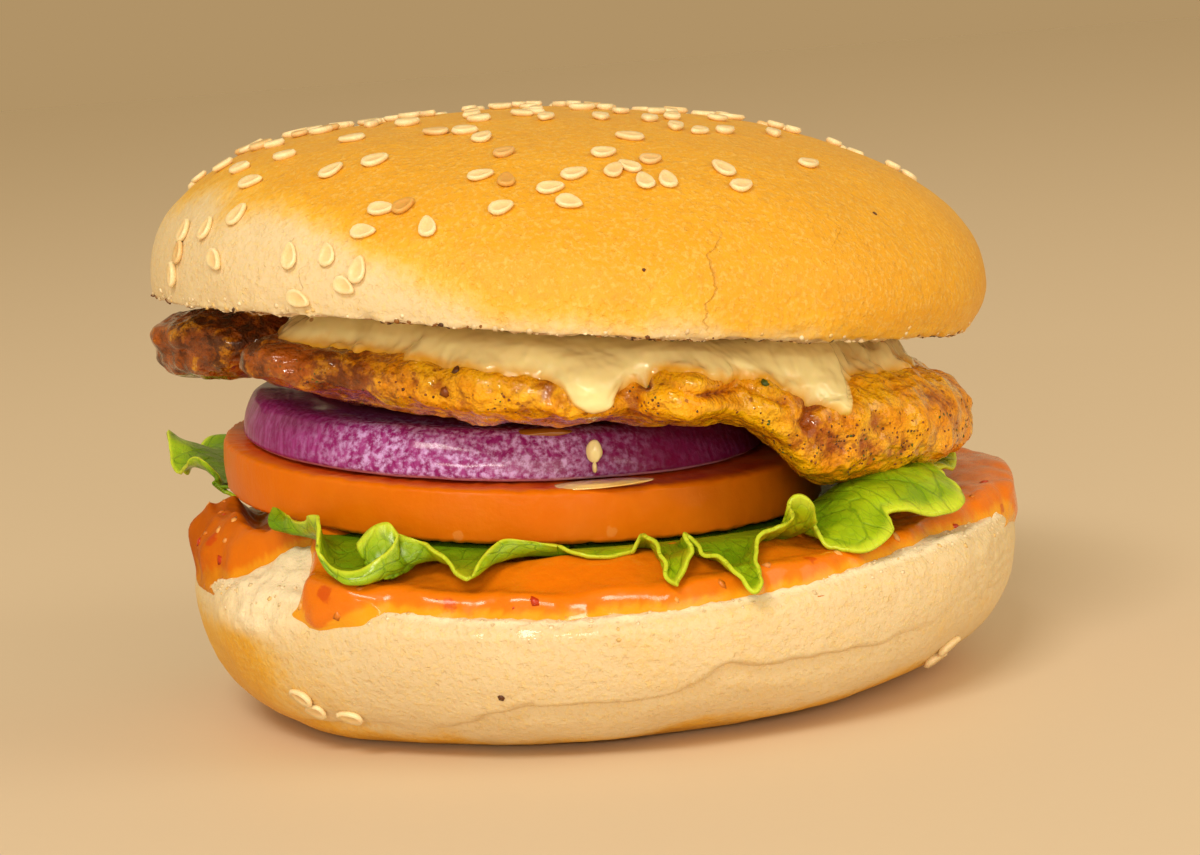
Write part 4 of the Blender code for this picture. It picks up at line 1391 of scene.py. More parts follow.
class SaladSettings(bpy.types.PropertyGroup):
    # The inner leaf colour is painted shade where the leaf runs in under the slices
    leaf: colour_setting("Inner leaf", (0.15, 0.30, 0.004), "Lettuce blade inside the burger")
    blade: colour_setting("Outer leaf", (0.37, 0.55, 0.006), "Lettuce blade toward its edge")
    edge: colour_setting("Leaf edge", (0.56, 0.70, 0.03), "Light line along the frilled edge")
    vein: colour_setting("Leaf vein", (0.10, 0.22, 0.004), "Thin veins")
    leaf_thickness: length_setting("Leaf thickness", 0.00045, "Thickness of a lettuce leaf")
    tomato_skin: colour_setting("Tomato skin", (0.68, 0.155, 0.001), "The side of the tomato slice")
    tomato_flesh: colour_setting("Tomato flesh", (0.50, 0.045, 0.003), "Its cut faces")
    onion_skin: colour_setting("Onion skin", (0.25, 0.010, 0.15), "Purple outer layer")
    # Frost colour, also laid on as a painted highlight across the onion's front
    onion_frost: colour_setting("Onion frost", (0.66, 0.42, 0.86), "Frosty bloom on the outer layer")
    onion_flesh: colour_setting("Onion flesh", (0.30, 0.05, 0.13), "Its pale cut faces")


class ChickenSettings(bpy.types.PropertyGroup):
    meat: colour_setting("Meat", (0.84, 0.30, 0.001), "Marinated chicken")
    bright: colour_setting("Bright meat", (0.95, 0.50, 0.004), "Where the marinade is thin")
    # Seared colour, also used as painted shade in the chicken's hollows
    sear_and_hollow_shade: colour_setting("Seared meat", (0.36, 0.08, 0.003), "Browned hollows")
    char: colour_setting("Char", (0.045, 0.012, 0.004), "Burnt spots")
    herb: colour_setting("Herb", (0.07, 0.11, 0.01), "Dried herb specks")


class StageSettings(bpy.types.PropertyGroup):
    floor: colour_setting("Floor", (0.78, 0.64, 0.48), "Plain pale floor")
    key: bpy.props.FloatProperty(name="Key light", default=12.8, min=0.0, unit="POWER",
                                 description="Power of the large soft light over the burger")


# ------------------------------ finishes

# Colours that one finish mixes in beside those of the settings
BURNT_SPECK = (0.12, 0.05, 0.02)
SCORCHED_RIM = (0.26, 0.09, 0.015)
SEED_MIDDLE = (0.90, 0.78, 0.60)
RED_FLECK = (0.52, 0.035, 0.003)
DARK_FLECK = (0.05, 0.012, 0.006)
MARINADE_FLECK = (0.40, 0.12, 0.01)
TOMATO_BLUSH = (0.72, 0.175, 0.002)
TOMATO_STREAK = (0.80, 0.22, 0.004)
TOMATO_FRECKLE = (0.85, 0.42, 0.12)
TOMATO_FOOT_SHADE = (0.50, 0.06, 0.004)
TOMATO_PULP = (0.62, 0.10, 0.006)
ONION_FIBRE = (0.40, 0.07, 0.33)
ONION_PAINTED_SHADE = (0.16, 0.004, 0.03)
ONION_RIM = (0.78, 0.46, 0.62)
SPICE_FLECK = (0.24, 0.05, 0.004)
BIT_SHADE = (0.7, 0.6, 0.5)
JUICE_FLECK = (0.12, 0.03, 0.004)
# Colours of the loose bits; the spice takes its third from the herb setting
SCORCHED_BITS = ((0.07, 0.025, 0.008), (0.30, 0.12, 0.02), (0.16, 0.05, 0.01))
SPICE_BITS = ((0.11, 0.03, 0.006), (0.24, 0.055, 0.004))
SAUCE_BITS = ((0.55, 0.04, 0.003), (0.86, 0.42, 0.10), (0.70, 0.20, 0.01))


def seed_material(settings):
    made, tree = material("Sesame", 0.38, specular_ior_level=0.4, subsurface_weight=0.15,
                          subsurface_scale=0.001)
    tint, rim = mask_of(tree, "tint"), mask_of(tree, "rim")
    colour = blend(tree, between(tree, tint, 0.55, 1.0), settings.seed, settings.toasted)
    centre = blend(tree, 1.0, colour, SEED_MIDDLE, how="MULTIPLY")
    colour = blend(tree, rim, centre, colour)
    fine = mottle(tree, 0.6, 0.3, 0.7, 3.0)
    colour = wash(tree, colour, fine, 0.16, settings.toasted)
    dress(tree, colour, bumps=[(fine, 0.00004, 0.5)])
    return made


def burger_sauce_material(settings):
    """Glossy orange sauce, darker in the heap, with red flecks and a few grains."""
    made, tree = material("Burger_sauce", 0.3, specular_ior_level=0.08, coat_roughness=0.12,
                          subsurface_weight=0.1, subsurface_scale=0.0015,
                          subsurface_radius=(1.0, 0.35, 0.1))
    depth, lumpy = mask_of(tree, "depth"), mask_of(tree, "lumpy")
    broad = mottle(tree, 6.0, 0.3, 0.72)
    level = plus(tree, times(tree, depth, 0.8), times(tree, broad, 0.25))
    colour = blend(tree, between(tree, level, 0.1, 0.8), settings.thin, settings.burger)
    heap = times(tree, lumpy, between(tree, broad, 0.0, 1.0, 0.55, 1.0))
    colour = blend(tree, heap, colour, settings.heap)
    red = specks(tree, 3.8, 0.3, 0.24, 0.4)
    colour = wash(tree, colour, red, 0.6, RED_FLECK)
    dark = specks(tree, 10.0, 0.12, 0.05, 0.05)
    colour = wash(tree, colour, dark, 0.85, DARK_FLECK)
    grain = mottle(tree, 1.2, 0.3, 0.75, 3.0)
    swell = mottle(tree, 6.0, 0.2, 0.8, 2.0)
    rough = plus(tree, between(tree, grain, 0.0, 1.0, 0.22, 0.36), times(tree, lumpy, 0.3))
    wet = times(tree, between(tree, swell, 0.2, 0.7, 0.3, 0.6), minus(tree, 1.0, lumpy, clamp=True))
    dress(tree, colour, rough, [(swell, 0.0006, 0.5), (grain, 0.00007, 0.4)], wet)
    return made


def cream_material(settings):
    """Smooth pale sauce, stained by the marinade where it is thin, and very glossy."""
    made, tree = material("Cream_sauce", 0.16, specular_ior_level=0.5, coat_roughness=0.04,
                          subsurface_weight=0.2, subsurface_scale=0.0015,
                          subsurface_radius=(1.0, 0.6, 0.25))
    depth = mask_of(tree, "depth")
    stain = mottle(tree, 6.0, 0.4, 0.68, 5.0)
    share = times(tree, minus(tree, 1.1, depth), 0.9)
    share = plus(tree, share, times(tree, stain, 0.28))
    colour = blend(tree, between(tree, share, 0.32, 1.1), settings.cream, settings.stained)
    fleck = specks(tree, 3.0, 0.22, 0.1, 0.1)
    colour = wash(tree, colour, fleck, 0.7, MARINADE_FLECK)
    swell = mottle(tree, 4.5, 0.2, 0.8, 2.0)
    dress(tree, colour, between(tree, stain, 0.0, 1.0, 0.14, 0.24), [(swell, 0.0007, 0.6)],
          between(tree, swell, 0.2, 0.8, 0.6, 1.0))
    return made


def leaf_material(settings):
    """Waxy lettuce: thin dark veins, a light line along the frilled edge, and painted shade darkening the
    blade toward its root.
    """
    made, tree = material("Lettuce", 0.36, specular_ior_level=0.15, subsurface_weight=0.25,
                          subsurface_scale=0.0012, coat_roughness=0.2,
                          subsurface_radius=(0.5, 1.0, 0.1))
    out, along = mask_of(tree, "out"), mask_of(tree, "along")
    sheet = node(tree, "ShaderNodeCombineXYZ", {"X": along, "Y": times(tree, out, 1.1), "Z": 0.0})
    drift = noise(tree, 200.0, 2.0, Vector=place_of(tree))
    drift = vector_maths(tree, "SCALE", first=drift["Color"], by=0.22)
    spot = vector_maths(tree, "ADD", first=sheet.outputs[0], second=drift)
    ribs = node(tree, "ShaderNodeTexVoronoi", {"Vector": spot, "Scale": 2.6}, feature="DISTANCE_TO_EDGE")
    rib = between(tree, ribs.outputs["Distance"], 0.0, 0.06, 1.0, 0.0)
    net = node(tree, "ShaderNodeTexVoronoi", {"Vector": spot, "Scale": 8.0}, feature="DISTANCE_TO_EDGE")
    fine = between(tree, net.outputs["Distance"], 0.0, 0.07, 1.0, 0.0)
    broad = mottle(tree, 7.0, 0.3, 0.7, 3.0)
    # Painted shade: the blade is darkest at its root under the slices and lighter toward the frilled edge
    lit = plus(tree, times(tree, out, 0.7), times(tree, broad, 0.45))
    colour = blend(tree, between(tree, lit, 0.35, 1.15), settings.leaf, settings.blade)
    colour = wash(tree, colour, rib, 0.5, settings.vein)
    colour = wash(tree, colour, fine, 0.22, settings.vein)
    colour = blend(tree, between(tree, out, 0.90, 0.985), colour, settings.edge)
    dress(tree, colour, between(tree, broad, 0.0, 1.0, 0.3, 0.45),
          [(rib, -0.0002, 0.5), (fine, -0.0001, 0.4), (broad, 0.0006, 0.4)],
          times(tree, between(tree, broad, 0.2, 0.8, 0.2, 0.5), between(tree, out, 0.3, 0.7)))
    return made


def tomato_material(settings):
    made, tree = material("Tomato", 0.38, specular_ior_level=0.1, subsurface_weight=0.15,
                          subsurface_scale=0.002, coat_roughness=0.2,
                          subsurface_radius=(1.0, 0.25, 0.05))
    skin_share, rise = mask_of(tree, "skin"), mask_of(tree, "rise")
    broad = mottle(tree, 12.0, 0.3, 0.75)
    streak = strands(tree, 2.2, 0.3, 0.2)
    colour = blend(tree, times(tree, broad, 0.55), settings.tomato_skin, TOMATO_BLUSH)
    colour = blend(tree, between(tree, streak, 0.45, 0.7, 0.0, 0.15), colour, TOMATO_STREAK)
    pale = specks(tree, 4.5, 0.25, 0.16, 0.3)
    colour = wash(tree, colour, pale, 0.25, TOMATO_FRECKLE)
    # Painted shade: the side darkens toward its bottom edge, where it rests on the leaves and sauce
    low = between(tree, rise, 0.25, 0.0, 0.0, 0.2)
    colour = blend(tree, low, colour, TOMATO_FOOT_SHADE)
    flesh = mottle(tree, 4.0, 0.35, 0.65, 5.0)
    inner = blend(tree, flesh, settings.tomato_flesh, TOMATO_PULP)
    colour = blend(tree, skin_share, inner, colour)
    fine = mottle(tree, 0.8, 0.3, 0.7, 3.0)
    dress(tree, colour, between(tree, broad, 0.0, 1.0, 0.34, 0.46),
          [(streak, 0.0001, 0.3), (fine, 0.00004, 0.3), (flesh, 0.0002, 0.2)],
          between(tree, broad, 0.2, 0.8, 0.0, 0.25))
    return made


def onion_material(settings):
    """Purple outer layer with upright fibres under a frosty bloom, laid on thickly across the front as a
    painted highlight, painted shade at the right front, and pale cut faces.
    """
    made, tree = material("Red_onion", 0.34, specular_ior_level=0.0, subsurface_weight=0.1,
                          subsurface_scale=0.0015, coat_roughness=0.12,
                          subsurface_radius=(1.0, 0.3, 0.6))
    skin_share, rise, turn = (mask_of(tree, title) for title in ("skin", "rise", "turn"))
    fibres = strands(tree, 0.7, 0.12, 0.15)
    frost = mottle(tree, 0.8, 0.40, 0.68, 6.0)
    broad = mottle(tree, 10.0, 0.1, 0.6, 3.0)
    # Real frost bloom all round, laid on much more thickly across the front middle as a painted highlight
    middle = times(tree, between(tree, turn, 0.60, 0.70), between(tree, turn, 0.86, 0.77))
    frost_and_highlight = times(tree, times(tree, frost, broad), plus(tree, times(tree, middle, 1.1), 0.08))
    fibrous = between(tree, fibres, 0.4, 0.65, 0.0, 0.7)
    colour = blend(tree, fibrous, settings.onion_skin, ONION_FIBRE)
    # Painted shade: the side is darkened across its right front
    painted_shade = between(tree, turn, 0.76, 0.86)
    colour = wash(tree, colour, painted_shade, 0.75, ONION_PAINTED_SHADE)
    colour = blend(tree, frost_and_highlight, colour, settings.onion_frost)
    rim = between(tree, rise, 0.09, 0.03)
    colour = wash(tree, colour, rim, 0.8, ONION_RIM)
    colour = blend(tree, skin_share, settings.onion_flesh, colour)
    rough = plus(tree, between(tree, frost, 0.0, 1.0, 0.22, 0.42),
                 between(tree, skin_share, 1.0, 0.0, 0.0, 0.4))
    dress(tree, colour, rough, [(fibres, 0.00014, 0.5), (frost, 0.00014, 0.6)],
          times(tree, between(tree, broad, 0.0, 1.0, 0.2, 0.6), skin_share))
    return made


def chicken_material(settings, name, dark):
    """Grilled chicken: yellow marinade, seared browning plus painted shade in the hollows, char, spice
    and herb specks, all glossy.
    """
    made, tree = material(name, 0.3, specular_ior_level=0.15, subsurface_weight=0.1,
                          subsurface_scale=0.002, coat_roughness=0.05,
                          subsurface_radius=(1.0, 0.45, 0.1))
    char, hollow_shade_and_browning = mask_of(tree, "char"), mask_of(tree, "hollow_shade_and_browning")
    broad = mottle(tree, 8.0, 0.34, 0.66, 5.0)
    fine = mottle(tree, 1.4, 0.35, 0.65, 5.0)
    fibres = strands(tree, 1.2, 0.35, 0.9)
    colour = blend(tree, broad, settings.bright, settings.meat)
    # Painted shade: the seared colour darkens the hollows, added to the real browning set by dark
    sear_and_hollow_shade = plus(tree, times(tree, hollow_shade_and_browning, 1.25), times(tree, fine, 0.3))
    sear_and_hollow_shade = between(tree, plus(tree, sear_and_hollow_shade, dark), 0.62, 1.2)
    colour = blend(tree, sear_and_hollow_shade, colour, settings.sear_and_hollow_shade)
    colour = blend(tree, between(tree, fibres, 0.5, 0.72, 0.0, 0.22), colour, settings.sear_and_hollow_shade)
    burnt = times(tree, char, between(tree, fine, 0.1, 0.75, 0.3, 1.0))
    colour = wash(tree, colour, burnt, 0.85, settings.char)
    spice = specks(tree, 1.3, 0.34, 0.26, 0.3)
    colour = wash(tree, colour, spice, 0.7, SPICE_FLECK)
    herb = specks(tree, 6.5, 0.2, 0.12, 0.2)
    colour = wash(tree, colour, herb, 0.85, settings.herb)
    glaze = mottle(tree, 4.0, 0.38, 0.6)
    wet = mottle(tree, 2.2, 0.2, 0.8, 3.0)
    dress(tree, colour, between(tree, glaze, 0.0, 1.0, 0.16, 0.42),
          [(wet, 0.0011, 0.8), (fibres, 0.00025, 0.35), (fine, 0.00012, 0.4)],
          between(tree, glaze, 0.0, 1.0, 1.0, 0.4))
    return made


def bits_material(name, first, second, third):
    """Small loose bits in three colours, picked by each bit's own tint."""
    made, tree = material(name, 0.35, specular_ior_level=0.45)
    tint = mask_of(tree, "tint")
    fine = mottle(tree, 0.5, 0.3, 0.7, 2.0)
    colour = blend(tree, between(tree, tint, 0.45, 0.5), first, second)
    colour = blend(tree, between(tree, tint, 0.8, 0.85), colour, third)
    shade = blend(tree, 1.0, colour, BIT_SHADE, how="MULTIPLY")
    colour = wash(tree, colour, fine, 0.4, shade)
    dress(tree, colour, bumps=[(fine, 0.00005, 0.4)])
    return made


# ------------------------------ pieces

class BakeCrown(bpy.types.Operator):
    """Bake the crown: its crust, cracks and crumbly rim"""
    bl_idname = "burger.bake_crown"
    bl_label = "Bake Crown"

    def execute(self, context):
        smooth = crown_surface()
        spots = raised(smooth, crown_relief(smooth))
        crust = crust_material("Top_crust", context.scene.bun_settings, CROWN_CRACKS)
        finish(skin("top_half", spots, crown_masks(smooth)), crust, "bun", "top_bun")
        return {"FINISHED"}


class BakeHeel(bpy.types.Operator):
    """Bake the heel: its crust, the long crease and the bare crumb"""
    bl_idname = "burger.bake_heel"
    bl_label = "Bake Heel"

    def execute(self, context):
        smooth = heel_surface()
        spots = raised(smooth, heel_relief(smooth) * ease(0.0, 1.2, smooth[..., 2]))
        spots[..., 2] = np.maximum(spots[..., 2], 0.0)
        crust = crust_material("Heel_crust", context.scene.bun_settings)
        finish(skin("heel", spots, heel_masks(smooth)), crust, "bun", "bottom_bun")
        return {"FINISHED"}


# x, z, spin in degrees and toasting of the seeds on the crown's front
FRONT_SEEDS = (
    (-8.7, 64.4, 20, 0), (-3.0, 66.0, 5, 0), (-1.0, 64.4, -30, 0), (-0.2, 67.2, 15, 0),
    (4.4, 67.2, 40, 0.7), (6.2, 67.4, 120, 0), (7.8, 65.8, 95, 0), (10.4, 65.7, 80, 0),
    (8.8, 67.9, 0, 0.8), (3.4, 69.1, 0, 0),
    (17.1, 66.2, 100, 0), (19.0, 64.2, 10, 0), (27.9, 65.4, -10, 0), (-10.9, 67.9, 15, 0),
    (-8.0, 67.2, 80, 1), (-8.1, 70.0, 30, 0.9), (-22.4, 65.1, 0, 0), (-19.8, 65.3, 40, 1),
    (-24.5, 62.9, 0, 0.5), (-17.1, 63.0, 100, 0.6), (-28.8, 60.6, 95, 0), (-33.3, 60.7, 95, 0),
    (-25.3, 58.9, 80, 0), (-27.0, 57.2, -30, 0), (-32.5, 55.9, -20, 0), (-39.9, 65.2, 70, 0),
    (-38.6, 68.6, 20, 0), (-44.1, 63.7, 90, 0), (-42.8, 60.3, -40, 0), (-47.4, 63.3, 95, 0),
    (-48.1, 60.9, 90, 0.8), (-49.2, 58.3, 90, 0), (-28.5, 69.4, 60, 0), (-23.3, 70.2, 35, 0),
    (-40.4, 70.0, 30, 0),
)
HEEL_SEEDS = ((-37.2, 8.1, 150, 0), (-35.7, 6.2, 170, 0), (-31.5, 5.9, 160, 0), (39.0, 4.5, 40, 0),
              (40.6, 6.2, 60, 0))

# Space between scattered seeds and round those given one by one, and the sinking of each (mm)
SEEDS_APART = 2.6
FRONT_SEEDS_APART = 2.8
SEED_SINK = 0.22
# Width, thickness and rim of a seed as shares of its length
SEED_SHAPE = (0.62, 0.28, 0.16)


def scatter_seeds(settings, name, thing, front, wanted, weight, seed):
    """Seeds at given (x, z, spin, toasting) places in front, and others scattered by weight."""
    spots, normals, spins = [], [], []
    for x, z, spin, _ in front:
        spot, normal = front_point(thing, x, z)
        spots.append(spot)
        normals.append(normal)
        spins.append(math.radians(spin))
    if wanted:
        more, ways, draw = surface_points(thing, wanted, weight, seed, SEEDS_APART)
        for spot, way in zip(more, ways):
            if all(np.linalg.norm(spot - other) > FRONT_SEEDS_APART for other in spots[:len(front)]):
                spots.append(spot)
                normals.append(way)
                spins.append(float(draw.uniform(0.0, 2.0 * math.pi)))
    draw = np.random.default_rng(seed + 1)
    count = len(spots)
    stretch = draw.uniform(0.86, 1.1, (count, 3))
    tints = 0.9 * draw.random(count) ** 1.4
    tints[:len(front)] = [0.95 * toasting for *_, toasting in front]
    length = settings.seed_length
    wide, thick, ridge = SEED_SHAPE
    grain = grain_mesh("Sesame_seed", length, wide * length, thick * length, ridge)
    finish_with = bpy.data.materials.get("Sesame") or seed_material(settings)
    sprinkle(name, spots, normals, spins, stretch, tints, grain, 1.0, SEED_SINK * MM, finish_with, "bun")


def scatter_bits(name, thing, wanted, weight, seed, apart, size, finish_with, slot, sink=0.0, places=()):
    """Small loose bits on a piece: at given (x, z, size) places in front, then by weight."""
    spots, ways, draw = surface_points(thing, wanted, weight, seed, apart)
    stretch = draw.uniform(0.55, 1.5, (len(spots), 1)) * draw.uniform(0.7, 1.3, (len(spots), 3)) * size
    for x, z, large in places:
        spot, way = front_point(thing, x, z)
        spots, ways = np.vstack([spots, spot]), np.vstack([ways, way])
        stretch = np.vstack([stretch, [large, large, large]])
    spins = draw.uniform(0.0, 2.0 * math.pi, len(spots))
    tints = draw.random(len(spots))
    sprinkle(name, spots, ways, spins, stretch, tints, flake_mesh(name + "_bit", seed), MM,
             sink * MM, finish_with, slot)


def drop_spots(centre, size, seed, uneven=0.12):
    """A rounded drop or pool with a slightly uneven outline."""
    angle = (np.arange(72) * 5.0)[None, :]
    turn = np.linspace(-90.0, 90.0, 36)[:, None]
    out = rows(cosine(turn) * cosine(angle), cosine(turn) * sine(angle), sine(turn) + 0.0 * angle)
    swell = (1.0 + uneven * lumps(out * 5.0, 4.0, seed))[..., None]
    return np.array(centre) + np.array(size) * swell * out


class SprinkleSeeds(bpy.types.Operator):
    """Sprinkle sesame seeds over the crown, and the few that stick to the heel"""
    bl_idname = "burger.sprinkle_seeds"
    bl_label = "Sprinkle Seeds"

    def execute(self, context):
        def weight(centres, normals):
            x, y, z = parts(centres)
            high = ease(66.5, 71.5, z) * ease(40.0, 10.0, x)
            behind = ease(-6.0, 10.0, y) * ease(56.0, 66.0, z)
            return np.where(normals[:, 2] > 0.15, high * ease(-34.0, -14.0, y) + 0.6 * behind, 0.0)

        settings = context.scene.bun_settings
        scatter_seeds(settings, "top_seeds", PIECES["top_half"], FRONT_SEEDS, settings.seed_count,
                      weight, 201)
        scatter_seeds(settings, "heel_seeds", PIECES["heel"], HEEL_SEEDS, 0, None, 205)
        return {"FINISHED"}


class SpreadBurgerSauce(bpy.types.Operator):
    """Spread the orange burger sauce over the heel and its rim"""
    bl_idname = "burger.spread_burger_sauce"
    bl_label = "Spread Burger Sauce"

    def execute(self, context):
        orange = burger_sauce_material(context.scene.sauce_settings)
        finish(skin("burger_sauce_film", *sauce_surface()), orange, "burger_sauce", "burger_sauce")
        return {"FINISHED"}


class TearLettuce(bpy.types.Operator):
    """Lay the five torn lettuce leaves"""
    bl_idname = "burger.tear_lettuce"
    bl_label = "Tear Lettuce"

    def execute(self, context):
        settings = context.scene.salad_settings
        finish_with = leaf_material(settings)
        thick = settings.leaf_thickness / MM
        edges = dict(LEAF_EDGES)
        for name, (span, *rule) in LEAF_RUNS.items():
            edges[name] = (span, run_edge(span, *rule))
        for seed, (name, (span, edge)) in enumerate(edges.items()):
            swells = LEAF_SWELLS.get(name, ())
            leaf = leaf_piece(name + "_leaf", *leaf_surface(span, edge, 111 + 10 * seed, swells), thick)
            finish(leaf, finish_with, "lettuce", name)
        return {"FINISHED"}


class CutTomato(bpy.types.Operator):
    """Cut the thick tomato slice"""
    bl_idname = "burger.cut_tomato"
    bl_label = "Cut Tomato"

    def execute(self, context):
        red = tomato_material(context.scene.salad_settings)
        finish(skin("tomato", *tomato_surface()), red, "tomato", "tomato_slice")
        return {"FINISHED"}


class CutOnion(bpy.types.Operator):
    """Cut the red onion slice"""
    bl_idname = "burger.cut_onion"
    bl_label = "Cut Onion"

    def execute(self, context):
        purple = onion_material(context.scene.salad_settings)
        finish(skin("onion", *onion_surface()), purple, "red_onion", "red_onion")
        return {"FINISHED"}


# How much of each piece's browning comes from the grill alone, whatever the painted shade in its hollows
FILLET_BROWNING = 0.0
SIDE_BROWNING = 0.5


class GrillChicken(bpy.types.Operator):
    """Grill the chicken fillet and the piece torn off beside it"""
    bl_idname = "burger.grill_chicken"
    bl_label = "Grill Chicken"

    def execute(self, context):
        settings = context.scene.chicken_settings
        smooth, height = fillet_surface()
        golden = chicken_material(settings, "Grilled_chicken", FILLET_BROWNING)
        fillet = skin("fillet", raised(smooth, height), fillet_masks(smooth, height))
        finish(fillet, golden, "grilled_chicken", "chicken_fillet")
        browned = chicken_material(settings, "Browned_chicken", SIDE_BROWNING)
        side_piece = skin("side_piece", *side_piece_surface())
        finish(side_piece, browned, "grilled_chicken", "chicken_side_piece")
        return {"FINISHED"}


class PourCream(bpy.types.Operator):
    """Pour the pale sauce over the chicken"""
    bl_idname = "burger.pour_cream"
    bl_label = "Pour Cream Sauce"

    def execute(self, context):
        pale = cream_material(context.scene.sauce_settings)
        finish(skin("cream", *cream_surface()), pale, "cream_sauce", "cream_sauce")
        return {"FINISHED"}


# Drops and pools: name, centre and half size in millimetres, and what they are of
POOLS = (
    ("onion_drop", (-0.4, -32.7, 34.2), (0.95, 0.7, 1.4), "cream"),
    ("onion_trickle", (-0.5, -32.9, 32.3), (0.3, 0.4, 0.7), "cream"),
    ("tomato_puddle", (-0.2, -34.6, 30.55), (6.4, 2.6, 0.4), "stained"),
    ("onion_juice", (-10.0, -31.3, 36.6), (7.0, 1.3, 0.7), "juice"),
)


class DripJuices(bpy.types.Operator):
    """Leave the drops and pools that ran down over the salad"""
    bl_idname = "burger.drip_juices"
    bl_label = "Drip Juices"

    def execute(self, context):
        settings = context.scene.sauce_settings
        juice, tree = material("Juice", 0.12, specular_ior_level=0.5, coat_roughness=0.04)
        fleck = specks(tree, 1.2, 0.4, 0.25, 0.3)
        colour = blend(tree, times(tree, fleck, 0.7), settings.juice, JUICE_FLECK)
        dress(tree, colour, bumps=[(fleck, 0.0001, 0.4)], coat=plus(tree, fleck, 0.6, clamp=True))
        cream = bpy.data.materials["Cream_sauce"]
        kinds = {"cream": (cream, 1.0), "stained": (cream, 0.45), "juice": (juice, 0.0)}
        for seed, (name, centre, size, kind) in enumerate(POOLS):
            made, depth = kinds[kind]
            pool = skin(name, drop_spots(centre, size, 301 + seed), {"depth": depth, "lumpy": 0.0})
            finish(pool, made, "cream_sauce")
        return {"FINISHED"}


# Lone pepper specks: the piece they lie on, x, z and size in millimetres
PEPPER = (("top_half", 34.9, 59.5, 0.7), ("top_half", 6.8, 56.8, 0.5), ("heel", -13.1, 9.1, 1.0),
          ("burger_sauce_film", 43.5, 22.6, 1.1))

# x, z and size of the large spice flakes that are set one by one, in millimetres
LARGE_FLAKES = ((-15.5, 46.2, 1.3), (-17.0, 43.8, 1.5), (-2.0, 43.0, 0.9), (20.0, 41.5, 1.2))


class ScatterCrumbs(bpy.types.Operator):
    """Scatter crumbs on the bread's cut rims, spice on the chicken and bits in the sauce"""
    bl_idname = "burger.scatter_crumbs"
    bl_label = "Scatter Crumbs"

    def execute(self, context):
        bun = context.scene.bun_settings

        def top_rim(centres, level, width, full):
            x, y, z = parts(centres)
            reach = np.hypot(x - CROWN_CENTRE[0], y)
            return bell(z - crown_cut(x, y), level, width) * ease(46.0, full, reach)

        def crown_rim(centres, normals):
            return top_rim(centres, 0.25, 0.8, 49.5)

        def scorched_rim(centres, normals):
            patches = ease(0.0, 0.5, layered(centres, 9.0, 2, 218) + 0.2)
            return top_rim(centres, -0.3, 0.45, 48.5) * patches

        def heel_rim(centres, normals):
            x, y, z = parts(centres)
            return bell(heel_cut(x) - z, 0.4, 1.1) * ease(47.5, 50.0, np.hypot(x, y))

        def meat_sides(centres, normals):
            clumps = ease(-0.2, 0.7, layered(centres, 6.0, 2, 216))
            sides = ease(0.6, -0.2, normals[:, 2]) * ease(-0.9, -0.5, normals[:, 2])
            return sides * (0.4 + ease(10.0, -20.0, centres[:, 1])) * (0.1 + clumps)

        def sauce_heap(centres, normals):
            x, y, _ = parts(centres)
            heap = np.where(normals[:, 2] > -0.2, hump(bearing(x, y), 192.0, 16.0) + 0.3, 0.0)
            return heap * ease(46.5, 49.0, np.hypot(x, y))

        crumb = bits_material("Crumbs", bun.crumb, bun.pale, bun.blush)
        scatter_bits("top_crumbs", PIECES["top_half"], 700, crown_rim, 211, 0.35, 0.5, crumb, "bun")
        scatter_bits("heel_crumbs", PIECES["heel"], 600, heel_rim, 212, 0.35, 0.45, crumb, "bun")
        scorched = bits_material("Scorched_crumbs", *SCORCHED_BITS)
        scatter_bits("scorched_crumbs", PIECES["top_half"], 700, scorched_rim, 217, 0.35, 0.5, scorched,
                     "bun")
        spice = bits_material("Spice", *SPICE_BITS, context.scene.chicken_settings.herb)
        scatter_bits("spice_flakes", PIECES["fillet"], 520, meat_sides, 213, 0.35, 0.3, spice,
                     "grilled_chicken", places=LARGE_FLAKES)
        spots, ways = zip(*(front_point(PIECES[name], x, z) for name, x, z, _ in PEPPER))
        sizes = [[size] * 3 for *_, size in PEPPER]
        sprinkle("pepper_specks", spots, ways, [0.0] * len(PEPPER), sizes, [0.0] * len(PEPPER),
                 flake_mesh("pepper", 215), MM, 0.0, spice, "bun")
        bits = bits_material("Sauce_bits", *SAUCE_BITS)
        scatter_bits("sauce_bits", PIECES["burger_sauce_film"], 150, sauce_heap, 214, 1.2, 1.0, bits,
                     "burger_sauce", sink=-0.1)
        return {"FINISHED"}


# ------------------------------ stage

# All lengths here are in metres, apart from the floor's
FLOOR_HALF = 4000.0
SKY = (0.96, 0.74, 0.42)
SKY_STRENGTH = 0.55
BACKDROP_MATCH = (1.07, 1.12, 1.22)
LIT_POINT = (0.0, 0.0, 0.035)
# Name, share of the key's power, size, place and colour of each soft light
LIGHTS = (
    ("key", 1.0, (0.7, 0.3), (-0.42, -1.15, 1.2), (1.0, 0.93, 0.80)),
    ("fill", 0.52, (1.2, 0.7), (0.45, -1.7, 0.42), (1.0, 0.91, 0.75)),
    ("front", 0.25, (0.8, 0.022), (-0.25, -1.3, 0.38), (1.0, 0.93, 0.80)),
    ("side", 0.42, (0.8, 1.2), (1.4, -0.6, 0.8), (1.0, 0.90, 0.72)),
)
CAMERA_LENS = 93.0
CAMERA_SENSOR = 36.0
CAMERA_CLIP = (0.01, 20.0)
CAMERA_AWAY = 0.4
CAMERA_TARGET = (0.0005, 0.0, 0.0325)
# Degrees above the horizontal, and degrees that it is turned about its own axis
CAMERA_RISE = 7.8
CAMERA_ROLL = 4.5


